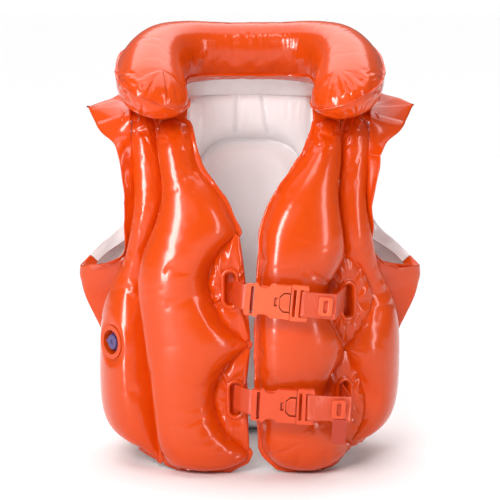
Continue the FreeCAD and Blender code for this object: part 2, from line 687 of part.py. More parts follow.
def main():
    """Builds every node and writes one STEP file for each."""
    front_panels()
    back_panel()
    films()
    slot_webs()
    buckles()
    straps()
    valves()
    collar()
    os.makedirs("parts", exist_ok=True)
    whole = Part.makeCompound(list(nodes.values())).BoundBox
    print("box", [round(v, 2) for v in (whole.XMin, whole.XMax, whole.YMin, whole.YMax, whole.ZMin, whole.ZMax)])
    print("side at", round(SIDE_S, 2), "nodes", len(nodes))
    for name, shape in nodes.items():
        if not shape.isValid() or not shape.Solids:
            print("check", name, shape.isValid(), len(shape.Solids), round(shape.Volume, 1))
        shape.exportStep("parts/" + name + ".step")


if __name__ == "__main__":
    main()
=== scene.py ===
"""Looks of an inflatable child's swim vest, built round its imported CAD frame.

Shapes are worked out in millimetres in the frame's own axes, +Z up with the front towards -Y, and become
metres when they are put into a mesh. Left and right are as seen from the front.
"""

import logging
import math
from dataclasses import dataclass, field
from enum import Enum
from typing import Callable, Optional, Sequence

import bmesh
import bpy
import numpy as np
from mathutils import Matrix, Vector


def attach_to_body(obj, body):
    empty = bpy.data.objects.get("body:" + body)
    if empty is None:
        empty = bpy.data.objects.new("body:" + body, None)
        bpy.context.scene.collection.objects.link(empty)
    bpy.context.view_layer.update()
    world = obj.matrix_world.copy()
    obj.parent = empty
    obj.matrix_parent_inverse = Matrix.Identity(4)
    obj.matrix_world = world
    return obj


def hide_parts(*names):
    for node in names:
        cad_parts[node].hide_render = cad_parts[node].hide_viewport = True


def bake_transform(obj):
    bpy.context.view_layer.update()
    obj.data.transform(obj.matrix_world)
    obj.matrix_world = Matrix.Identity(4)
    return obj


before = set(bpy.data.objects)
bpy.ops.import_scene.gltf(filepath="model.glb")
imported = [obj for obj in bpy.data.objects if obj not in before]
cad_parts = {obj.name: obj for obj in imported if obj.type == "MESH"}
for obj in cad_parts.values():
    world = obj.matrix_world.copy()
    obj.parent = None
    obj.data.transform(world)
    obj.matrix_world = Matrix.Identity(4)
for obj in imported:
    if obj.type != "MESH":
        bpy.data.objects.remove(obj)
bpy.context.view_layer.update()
LOG = logging.getLogger("swim_vest")
MM = 0.001

FILM_WALL = 0.8      # a single loose film, in millimetres
LINING_WALL = 0.5    # a white lining
WEB_WALL = 0.6       # the films of the neck and the sides
WELD_WALL = 0.7      # two films welded together
SEAM_WALL = 1.0      # the upright lip of a side seam
STRAP_WALL = 1.3     # webbing
DOUBLED = 1e-6       # corners nearer than this, in metres, are one

Array = np.ndarray
Rows = Sequence[Sequence[float]]


class Hand(Enum):
    """Which side of the vest, as seen from the front."""

    LEFT = -1
    RIGHT = 1

    @property
    def word(self) -> str:
        """The side's word in piece names."""
        return self.name.lower()


# ---- shader building ------------------------------------------------------------------------------
class Socket:
    """An output socket that takes part in Python arithmetic by adding Math nodes."""

    def __init__(self, shader: "Shader", socket: bpy.types.NodeSocket) -> None:
        """Wraps a socket.

        Args:
            shader: The shader that the socket belongs to.
            socket: The output socket.
        """
        self.shader = shader
        self.socket = socket

    def _math(self, operation: str, first: object, second: object) -> "Socket":
        """Adds one Math node and returns its result."""
        return self.shader.node("ShaderNodeMath", {"operation": operation}, {0: first, 1: second})

    def __add__(self, other: object) -> "Socket":
        """self + other."""
        return self._math("ADD", self, other)

    __radd__ = __add__

    def __mul__(self, other: object) -> "Socket":
        """self * other."""
        return self._math("MULTIPLY", self, other)

    __rmul__ = __mul__

    def __sub__(self, other: object) -> "Socket":
        """self - other."""
        return self._math("SUBTRACT", self, other)

    def __rsub__(self, other: object) -> "Socket":
        """other - self."""
        return self._math("SUBTRACT", other, self)


class Shader:
    """A material's node tree round one Principled shader."""

    def __init__(self, name: str) -> None:
        """Starts a material.

        Args:
            name: The material's name.
        """
        self.material = bpy.data.materials.new(name)
        self.material.use_nodes = True
        self.tree = self.material.node_tree
        self.surface = next(n for n in self.tree.nodes if n.type == "BSDF_PRINCIPLED")

    def node(self, kind: str, settings: Optional[dict] = None, inputs: Optional[dict] = None,
             output: object = 0) -> Socket:
        """Adds a node.

        Args:
            kind: The node's type.
            settings: Attributes set first.
            inputs: Values or Sockets by input name or index.
            output: Name or index of the output wanted.

        Returns:
            The output as a Socket.
        """
        made = self.tree.nodes.new(kind)
        for key, value in (settings or {}).items():
            setattr(made, key, value)
        for key, value in (inputs or {}).items():
            if isinstance(value, Socket):
                self.tree.links.new(value.socket, made.inputs[key])
            else:
                made.inputs[key].default_value = value
        return Socket(self, made.outputs[output])

    def place(self, uv: bool = False) -> Socket:
        """Returns the Object coordinates, or the piece's own UV map."""
        return self.node("ShaderNodeTexCoord", output="UV" if uv else "Object")

    def noise(self, where: Socket, scale: float, detail: float = 2.0, rough: float = 0.5) -> Socket:
        """Returns fractal noise from 0 to 1 at a scale per metre."""
        return self.node("ShaderNodeTexNoise", None,
                         {"Vector": where, "Scale": scale, "Detail": detail, "Roughness": rough}, "Fac")

    def mix(self, share: object, first: object, second: object) -> Socket:
        """Returns the colour that goes from first to second with share."""
        return self.node("ShaderNodeMix", {"data_type": "RGBA"}, {0: share, 6: first, 7: second}, 2)

    def bump(self, height: Socket, distance: float, strength: float = 1.0,
             normal: Optional[Socket] = None) -> Socket:
        """Returns a normal bumped by a height of 0 to 1 over a distance in metres."""
        inputs = {"Height": height, "Distance": distance, "Strength": strength}
        if normal is not None:
            inputs["Normal"] = normal
        return self.node("ShaderNodeBump", None, inputs, "Normal")

    def set(self, **values: object) -> None:
        """Sets or links the Principled shader's inputs, with underscores for spaces."""
        for key, value in values.items():
            target = self.surface.inputs[key.replace("_", " ")]
            if isinstance(value, Socket):
                self.tree.links.new(value.socket, target)
            else:
                target.default_value = value


def rgb(red: float, green: float, blue: float) -> tuple[float, float, float, float]:
    """Returns the scene-linear colour of sRGB values from 0 to 255."""
    parts = [c / 255 for c in (red, green, blue)]
    return tuple(c / 12.92 if c <= 0.04045 else ((c + 0.055) / 1.055) ** 2.4 for c in parts) + (1.0,)


@dataclass(frozen=True)
class VinylFilm:
    """Glossy soft film: a colour that drifts slightly, fine calender grain and a broad ripple."""

    name: str
    light: tuple[float, float, float, float]
    deep: tuple[float, float, float, float]
    roughness: float = 0.25
    coat: float = 0.34
    ripple: float = 0.0002

    def build(self) -> bpy.types.Material:
        """Returns the finished material."""
        shader = Shader(self.name)
        where = shader.place()
        drift = shader.noise(where, 14.0, 3.0)
        grain = shader.noise(where, 900.0, 2.0)
        smudge = shader.noise(where, 38.0, 4.0, 0.6)
        wave = shader.noise(where, 24.0, 1.0)
        normal = shader.bump(wave, self.ripple, 1.0)
        normal = shader.bump(grain, 0.00004, 0.6, normal)
        shader.set(Base_Color=shader.mix(drift, self.deep, self.light),
                   Roughness=self.roughness + (smudge - 0.5) * 0.10,
                   Coat_Weight=self.coat, Coat_Roughness=0.12, Coat_IOR=1.5, IOR=1.27, Normal=normal)
        return shader.material


@dataclass(frozen=True)
class Moulding:
    """Satin moulded plastic with a fine spark-eroded grain and slightly paler worn skin."""

    name: str
    light: tuple[float, float, float, float]
    deep: tuple[float, float, float, float]
    roughness: float = 0.38

    def build(self) -> bpy.types.Material:
        """Returns the finished material."""
        shader = Shader(self.name)
        where = shader.place()
        cloud = shader.noise(where, 60.0, 3.0)
        grain = shader.noise(where, 2600.0, 2.0)
        shader.set(Base_Color=shader.mix(cloud, self.deep, self.light),
                   Roughness=self.roughness + (cloud - 0.5) * 0.14, IOR=1.48,
                   Normal=shader.bump(grain, 0.00003, 0.8))
        return shader.material


@dataclass(frozen=True)
class Webbing:
    """Woven strap: ribs across it and a fine warp along it, on the strap's own UV map in metres."""

    name: str
    light: tuple[float, float, float, float]
    deep: tuple[float, float, float, float]

    def build(self) -> bpy.types.Material:
        """Returns the finished material."""
        shader = Shader(self.name)
        where = shader.place(uv=True)
        ribs = shader.node("ShaderNodeTexWave", {"wave_type": "BANDS", "bands_direction": "X"},
                           {"Vector": where, "Scale": 260.0, "Distortion": 0.4}, "Fac")
        warp = shader.node("ShaderNodeTexWave", {"wave_type": "BANDS", "bands_direction": "Y"},
                           {"Vector": where, "Scale": 330.0, "Distortion": 0.2}, "Fac")
        fuzz = shader.noise(where, 1500.0, 2.0)
        # This relief is both the bump and the colour mix: the low grooves get the deep tone as painted shade,
        # and the crests get the light tone, on top of the weave's own tone.
        height = ribs * 0.55 + warp * 0.35 + fuzz * 0.2
        shader.set(Base_Color=shader.mix(height, self.deep, self.light), Roughness=0.42 - ribs * 0.1,
                   Normal=shader.bump(height, 0.0002, 0.9))
        return shader.material


@dataclass(frozen=True)
class ClearValve:
    """Soft tinted see-through plastic of the valves."""

    name: str
    tint: tuple[float, float, float, float]

    def build(self) -> bpy.types.Material:
        """Returns the finished material."""
        shader = Shader(self.name)
        cloud = shader.noise(shader.place(), 220.0, 3.0)
        pale = tuple(min(1.0, c * 1.5 + 0.01) for c in self.tint[:3]) + (1.0,)
        shader.set(Base_Color=shader.mix(cloud, self.tint, pale), Roughness=0.14 + cloud * 0.1,
                   Transmission_Weight=0.2, IOR=1.45, Coat_Weight=0.4, Coat_Roughness=0.05)
        return shader.material


@dataclass
class Finishes:
    """Every material of the vest, made once."""

    orange: bpy.types.Material = field(init=False)
    white: bpy.types.Material = field(init=False)
    salmon: bpy.types.Material = field(init=False)
    clip_orange: bpy.types.Material = field(init=False)
    webbing: bpy.types.Material = field(init=False)
    purple: bpy.types.Material = field(init=False)

    def __post_init__(self) -> None:
        """Builds the materials."""
        self.orange = VinylFilm("orange_vinyl", rgb(223, 75, 6), rgb(214, 67, 3)).build()
        self.white = VinylFilm("white_vinyl", rgb(249, 245, 245), rgb(243, 238, 238), roughness=0.3, coat=0.2,
                               ripple=0.0004).build()
        self.salmon = Moulding("salmon_moulding", rgb(238, 98, 50), rgb(228, 84, 38)).build()
        self.clip_orange = Moulding("orange_moulding", rgb(230, 80, 28), rgb(218, 66, 18), 0.32).build()
        # The webbing's deep tone is painted into the weave's low grooves as shade.
        self.webbing = Webbing("orange_webbing", rgb(235, 84, 30), rgb(176, 42, 8)).build()
        self.purple = ClearValve("purple_valve", rgb(74, 46, 112)).build()


# ---- mesh building --------------------------------------------------------------------------------
def quads(index: Array) -> Array:
    """Returns the (n, 4) corners of every quad of a grid of vertex numbers."""
    return np.stack([index[:-1, :-1], index[1:, :-1], index[1:, 1:], index[:-1, 1:]], -1).reshape(-1, 4)


def film_pair(columns: int, rows: int) -> tuple[Array, Array]:
    """Returns the vertex numbers of two (columns, rows) films that share their edge: all of the first film's
    points come first and then the second's inner ones."""
    first = np.arange(columns * rows).reshape(columns, rows)
    second = first.copy()
    inner = (columns - 2, rows - 2)
    second[1:-1, 1:-1] = columns * rows + np.arange(inner[0] * inner[1]).reshape(inner)
    return first, second


def make_piece(name: str, points: Array, faces: Array, material: Optional[bpy.types.Material],
               uv: Optional[Array] = None) -> bpy.types.Object:
    """Makes a smooth mesh object.

    Args:
        name: The piece's name.
        points: (n, 3) places in millimetres.
        faces: (m, 4) vertex numbers.
        material: Its finish.
        uv: Optional (n, 2) coordinates of each vertex.

    Returns:
        The object, linked to the scene.
    """
    mesh = bpy.data.meshes.new(name)
    mesh.vertices.add(len(points))
    mesh.vertices.foreach_set("co", (np.asarray(points, float) * MM).ravel())
    mesh.loops.add(faces.size)
    mesh.loops.foreach_set("vertex_index", faces.ravel().astype(np.int32))
    mesh.polygons.add(len(faces))
    mesh.polygons.foreach_set("loop_start", np.arange(0, faces.size, faces.shape[1], dtype=np.int32))
    mesh.polygons.foreach_set("loop_total", np.full(len(faces), faces.shape[1], np.int32))
    mesh.polygons.foreach_set("use_smooth", np.ones(len(faces), bool))
    if uv is not None:
        layer = mesh.uv_layers.new(name="UVMap")
        layer.data.foreach_set("uv", uv[faces.ravel()].ravel())
    mesh.update(calc_edges=True)
    mesh.validate()
    if material is not None:
        mesh.materials.append(material)
    made = bpy.data.objects.new(name, mesh)
    bpy.context.scene.collection.objects.link(made)
    return made


def make_grid(name: str, grid: Array, material: bpy.types.Material, closed_rows: bool = False,
              closed_columns: bool = False, uv: Optional[Array] = None) -> bpy.types.Object:
    """Makes a mesh object of a (rows, columns, 3) grid of points, closed either way or open."""
    rows, columns = grid.shape[:2]
    index = np.arange(rows * columns).reshape(rows, columns)
    if closed_rows:
        index = np.vstack([index, index[:1]])
    if closed_columns:
        index = np.hstack([index, index[:, :1]])
    flat_uv = None if uv is None else uv.reshape(-1, 2)
    return make_piece(name, grid.reshape(-1, 3), quads(index), material, flat_uv)


def thicken(piece: bpy.types.Object, thickness: float) -> bpy.types.Object:
    """Gives an open surface a wall of that many millimetres and returns it."""
    wall = piece.modifiers.new("wall", "SOLIDIFY")
    wall.thickness, wall.offset, wall.use_even_offset = thickness * MM, 0.0, False
    return piece


def resample(points: Array, count: int, closed: bool = False) -> Array:
    """Returns count points evenly spaced along a polyline."""
    path = np.vstack([points, points[:1]]) if closed else points
    along = np.concatenate([[0.0], np.cumsum(np.linalg.norm(np.diff(path, axis=0), axis=1))])
    at = np.linspace(0, along[-1], count, endpoint=not closed)
    return np.stack([np.interp(at, along, path[:, k]) for k in range(path.shape[1])], -1)


def smooth_curve(points: Array, count: int, closed: bool = False) -> Array:
    """Returns count points, evenly spaced, along the Catmull-Rom curve through the given ones."""
    p = np.asarray(points, float)
    if closed:
        before, after, after2 = np.roll(p, 1, 0), np.roll(p, -1, 0), np.roll(p, -2, 0)
        starts = p
    else:
        padded = np.vstack([2 * p[0] - p[1], p, 2 * p[-1] - p[-2]])
        before, starts, after, after2 = padded[:-3], padded[1:-2], padded[2:-1], padded[3:]
    t = np.linspace(0, 1, 24, endpoint=False)[None, :, None]
    a, b, c, d = (q[:, None, :] for q in (before, starts, after, after2))
    dense = 0.5 * (2 * b + (c - a) * t + (2 * a - 5 * b + 4 * c - d) * t ** 2
                   + (3 * b - a - 3 * c + d) * t ** 3)
    dense = dense.reshape(-1, p.shape[1])
    if not closed:
        dense = np.vstack([dense, p[-1:]])
    return resample(dense, count, closed)


def smoothstep(low: float, high: float, value: Array) -> Array:
    """Returns 0 below low, 1 above high and a smooth step between."""
    t = np.clip((value - low) / (high - low), 0, 1)
    return t * t * (3 - 2 * t)


def soft_noise(where: Array, size: float, seed: int, terms: int = 14) -> Array:
    """Returns smooth noise of about -1 to 1: a sum of sine waves in random directions.

    Args:
        where: (..., k) places in millimetres.
        size: The usual distance between crests.
        seed: Fixes the random directions.
        terms: How many waves are added.

    Returns:
        The noise at each place.
    """
    rng = np.random.default_rng(seed)
    k = where.shape[-1]
    ways = rng.normal(size=(terms, k))
    pitch = (2 * math.pi / size) * rng.uniform(0.5, 1.3, (terms, 1))
    ways *= pitch / np.linalg.norm(ways, axis=1, keepdims=True)
    phases = rng.uniform(0, 2 * math.pi, terms)
    return np.sin(where @ ways.T + phases).sum(-1) / math.sqrt(terms)


# ---- the wall that the chambers are built on ------------------------------------------------------
@dataclass
class Wall:
    """The vest's plan: a squared ellipse in plan whose front leans back above the chest."""

    half_width: float = 122.0
    half_depth: float = 92.0
    power: float = 2.6
    centre_y: float = 7.0
    lean_start: float = 200.0
    lean_top: float = 344.0
    lean_back: float = 32.0

    def __post_init__(self) -> None:
        """Tabulates a quarter of the plan and its arc length, from the front centre to the side."""
        a = np.linspace(0, math.pi / 2, 4001)
        self.x = self.half_width * np.sin(a) ** (2 / self.power)
        self.y = -self.half_depth * np.maximum(np.cos(a), 0) ** (2 / self.power)
        self.s = np.concatenate([[0.0], np.cumsum(np.hypot(np.diff(self.x), np.diff(self.y)))])
        self.side = float(self.s[-1])

    def along(self, x: Array) -> Array:
        """Returns the signed arc length of the front's points at x."""
        x = np.asarray(x, float)
        return np.sign(x) * np.interp(np.abs(x), self.x, self.s)

    def back(self, across: Array) -> Array:
        """Returns the signed arc length of points across from the back's centre."""
        across = np.asarray(across, float)
        return np.where(across >= 0, 2 * self.side - across, -2 * self.side - across)

    def point(self, s: Array, z: Array, out: Array) -> Array:
        """Returns places on the wall moved outwards: the plan's point at arc length s, plus out times the
        plan's normal, leaned back by the square of the height above the chest on the front half.

        Args:
            s: Signed arc length from the front centre.
            z: Height.
            out: Distance outwards.

        Returns:
            (..., 3) places.
        """
        s, z, out = np.broadcast_arrays(np.asarray(s, float), np.asarray(z, float), np.asarray(out, float))
        away = np.abs(s)
        behind = away > self.side
        quarter = np.clip(np.where(behind, 2 * self.side - away, away), 0, self.side)
        x, y = np.interp(quarter, self.s, self.x), np.interp(quarter, self.s, self.y)
        nx = (np.abs(x) / self.half_width) ** (self.power - 1) / self.half_width
        ny = (np.abs(y) / self.half_depth) ** (self.power - 1) / self.half_depth
        size = np.maximum(np.hypot(nx, ny), 1e-12)
        nx, ny = nx / size, -ny / size
        y, ny = np.where(behind, -y, y), np.where(behind, -ny, ny)
        x, nx = np.where(s < 0, -x, x), np.where(s < 0, -nx, nx)
        rise = np.clip((z - self.lean_start) / (self.lean_top - self.lean_start), 0, 1.3)
        lean = np.where(y <= 0, self.lean_back * rise ** 2, 0.0)
        return np.stack([x + nx * out, y + ny * out + lean + self.centre_y, z], -1)


WALL = Wall()


# ---- air chambers -----------------------------------------------------------------------------------
@dataclass
class Puckers:
    """Short grooves that run in from a weld, square to it, where the film gathers."""

    seed: int
    spacing: float = 9.0
    depth: float = 1.9
    reach: float = 13.0
    width: float = 2.6
    slack: float = 0.12

    def tightness(self, outline: Array) -> Array:
        """Returns how far the film gathers at each of the evenly spaced corners of a weld: from slack where
        the weld runs straight to 1 where it turns sharply."""
        way = np.roll(outline, -1, 0) - outline
        heading = np.arctan2(way[:, 1], way[:, 0])
        turn = np.abs((heading - np.roll(heading, 1) + math.pi) % (2 * math.pi) - math.pi)
        reach = max(1, int(22.0 / np.linalg.norm(way, axis=1).mean()))
        window = np.hanning(2 * reach + 3)
        padded = np.concatenate([turn[-reach - 1:], turn, turn[:reach + 1]])
        total = np.convolve(padded, window, "valid")
        return self.slack + (1 - self.slack) * smoothstep(0.12, 0.75, total)

    def groove(self, along: Array, inward: Array, perimeter: float) -> Array:
        """Returns the grooves' depth: each is a Gaussian across and x * exp(1 - x) along, x being the
        distance in from the weld over the groove's reach.

        Args:
            along: Place along the weld.
            inward: Distance in from it.
            perimeter: The weld's whole length.

        Returns:
            Depth in millimetres at each place.
        """
        rng = np.random.default_rng(self.seed)
        count = max(4, int(perimeter / self.spacing))
        place = (np.arange(count) + rng.uniform(-0.38, 0.38, count)) * perimeter / count
        wide = self.width * rng.uniform(0.6, 1.5, count)
        far = self.reach * rng.uniform(0.35, 1.5, count)
        deep = self.depth * rng.uniform(0.15, 1.0, count) ** 1.3
        slant = rng.uniform(-0.25, 0.25, count)
        total = np.zeros(along.shape)
        for p, w, f, d, k in zip(place, wide, far, deep, slant):
            off = (along + k * inward - p + perimeter / 2) % perimeter - perimeter / 2
            x = inward / f
            total += d * np.exp(-(off / w) ** 2) * x * np.exp(1 - x)
        return total


def pillow_height(points: Array, outline: Array) -> tuple[Array, Array, Array]:
    """Works out how high a film blown up between welds stands above their plane.

    The height is the square root of 2 / (A^2 - B), where A and B are the outline's integrals of 1/r^2 over pi
    and of 1/r^3 over 2. Between two parallel welds this is exactly a half circle, and it rounds off towards
    corners and ends.

    Args:
        points: (n, 2) places inside the outline.
        outline: (m, 2) corners of the closed weld.

    Returns:
        Height, distance to the nearest weld, and the nearest place along the weld.
    """
    start, edge = outline, np.roll(outline, -1, 0) - outline
    length = np.linalg.norm(edge, axis=1)
    edge = edge / length[:, None]
    runs = np.concatenate([[0.0], np.cumsum(length)])[:-1]
    dx = points[:, None, 0] - start[None, :, 0]
    dy = points[:, None, 1] - start[None, :, 1]
    x = dx * edge[None, :, 0] + dy * edge[None, :, 1]
    d = np.maximum(np.abs(dy * edge[None, :, 0] - dx * edge[None, :, 1]), 1e-3)
    low, high = -x, length[None, :] - x
    a = ((np.arctan(high / d) - np.arctan(low / d)) / d).sum(1) / math.pi
    b = ((high / np.hypot(high, d) - low / np.hypot(low, d)) / d ** 2).sum(1) / 2
    height = np.sqrt(2 / np.maximum(a * a - 0.96 * b, 0.02 * b + 1e-9))
    clamped = np.clip(x, 0, length[None, :])
    distance = np.hypot(x - clamped, d)
    nearest = distance.argmin(1)
    pick = np.arange(len(points))
    return height, distance[pick, nearest], runs[nearest] + clamped[pick, nearest]


Column = Callable[[Array], Array]
Reshape = Callable[[Array, Array, Array, Array], Array]


def column(*stretches: Rows) -> Column:
    """Returns a function of height through (height, value) rows. Each stretch is a smooth curve, and where
    two stretches meet there is a corner."""
    dense = np.vstack([smooth_curve(np.array(rows, float), 60) for rows in stretches])

    def value(z: Array) -> Array:
        """The value at height z."""
        return np.interp(z, dense[:, 0], dense[:, 1])

    return value


@dataclass(frozen=True)
class Inflation:
    """A short cloth simulation of a chamber's two films, a little longer than their weld, blown up by air.

    It runs on a coarse copy of the films with the weld held. The places move by no more than a cap, and the
    movement is spread back over the fine films, where it gathers them at the weld.
    """

    pressure: float = 4.0
    slack: float = 0.009
    frames: int = 18
    cap: float = 2.0
    cell: float = 6.0
    reach: float = 11.0
    everywhere: float = 0.03

    @staticmethod
    def _picks(count: int, want: int) -> Array:
        """Returns want evenly spread grid numbers out of count."""
        return np.unique(np.round(np.linspace(0, count - 1, want)).astype(int))

    @staticmethod
    def _spread(move: Array, columns: Array, rows: Array, shape: tuple[int, int]) -> Array:
        """Returns a coarse (columns, rows, 3) movement interpolated to every fine grid point."""
        i = np.interp(np.arange(shape[0]), columns, np.arange(len(columns)))
        j = np.interp(np.arange(shape[1]), rows, np.arange(len(rows)))
        a, b = np.floor(i).astype(int), np.floor(j).astype(int)
        a2, b2 = np.minimum(a + 1, len(columns) - 1), np.minimum(b + 1, len(rows) - 1)
        fi, fj = (i - a)[:, None, None], (j - b)[None, :, None]
        near = move[a][:, b] * (1 - fj) + move[a][:, b2] * fj
        far = move[a2][:, b] * (1 - fj) + move[a2][:, b2] * fj
        return near * (1 - fi) + far * fi

    def settle(self, outer: Array, inner: Array, inward: Array, lined: bool) -> tuple[Array, Array]:
        """Blows a chamber up. The movement fades away from the weld, because tight film is smooth.

        Args:
            outer: (columns, rows, 3) places of the outer film in millimetres.
            inner: The inner film's places, which meet the outer's all round.
            inward: (columns, rows) distance from the weld.
            lined: Whether a lining holds the inner film where it is.

        Returns:
            Both films after the simulation.
        """
        shape = outer.shape[:2]
        length = np.linalg.norm(np.diff(outer[shape[0] // 2], axis=0), axis=1).sum()
        columns, rows = self._picks(shape[0], 17), self._picks(shape[1], max(12, int(length / self.cell)))
        sheets = [film[np.ix_(columns, rows)] for film in (outer, inner)]
        index, other = film_pair(len(columns), len(rows))
        points = np.vstack([sheets[0].reshape(-1, 3), sheets[1][1:-1, 1:-1].reshape(-1, 3)])
        faces = np.vstack([quads(index), quads(other)[:, ::-1]])
        rim = np.ones(index.shape, bool)
        rim[1:-1, 1:-1] = False
        move = self._blow(points, faces, index[rim].tolist()) - points
        size = np.linalg.norm(move, axis=1, keepdims=True)
        move *= np.minimum(1, self.cap / np.maximum(size, 1e-6))
        LOG.info("inflated: mean %.2f, most %.2f mm", float(size.mean()), float(size.max()))
        share = (self.everywhere + (1 - self.everywhere) * np.exp(-(inward / self.reach) ** 2))[..., None]
        return (outer + share * self._spread(move[index], columns, rows, shape),
                inner + (0 if lined else share) * self._spread(move[other], columns, rows, shape))

    def _blow(self, points: Array, faces: Array, weld: list[int]) -> Array:
        """Runs the simulation on a closed mesh and returns its places in millimetres.

        Args:
            points: (n, 3) places in millimetres.
            faces: (m, 4) vertex numbers.
            weld: The vertices that are held.

        Returns:
            The places after the last frame.
        """
        copy = make_piece("inflating", points, faces, None)
        corners = points[faces]
        if np.einsum("ij,ij->i", corners[:, 0], np.cross(corners[:, 1], corners[:, 2])).sum() < 0:
            copy.data.flip_normals()
        copy.vertex_groups.new(name="weld").add(weld, 1.0, "REPLACE")
        cloth = copy.modifiers.new("cloth", "CLOTH")
        setup = cloth.settings
        setup.quality, setup.mass, setup.air_damping = 6, 0.15, 4.0
        setup.tension_stiffness = setup.compression_stiffness = 25.0
        setup.shear_stiffness, setup.bending_stiffness = 12.0, 0.12
        setup.use_pressure, setup.uniform_pressure_force = True, self.pressure
        setup.shrink_min = -self.slack
        setup.vertex_group_mass, setup.pin_stiffness = "weld", 1.0
        setup.effector_weights.gravity = 0.0
        cloth.collision_settings.use_collision = False
        cloth.point_cache.frame_start, cloth.point_cache.frame_end = 1, self.frames
        scene = bpy.context.scene
        for number in range(1, self.frames + 1):
            scene.frame_set(number)
        done = copy.evaluated_get(bpy.context.evaluated_depsgraph_get()).data
        after = np.empty(len(points) * 3)
        done.vertices.foreach_get("co", after)
        bpy.data.objects.remove(copy)
        scene.frame_set(1)
        return after.reshape(-1, 3) / MM


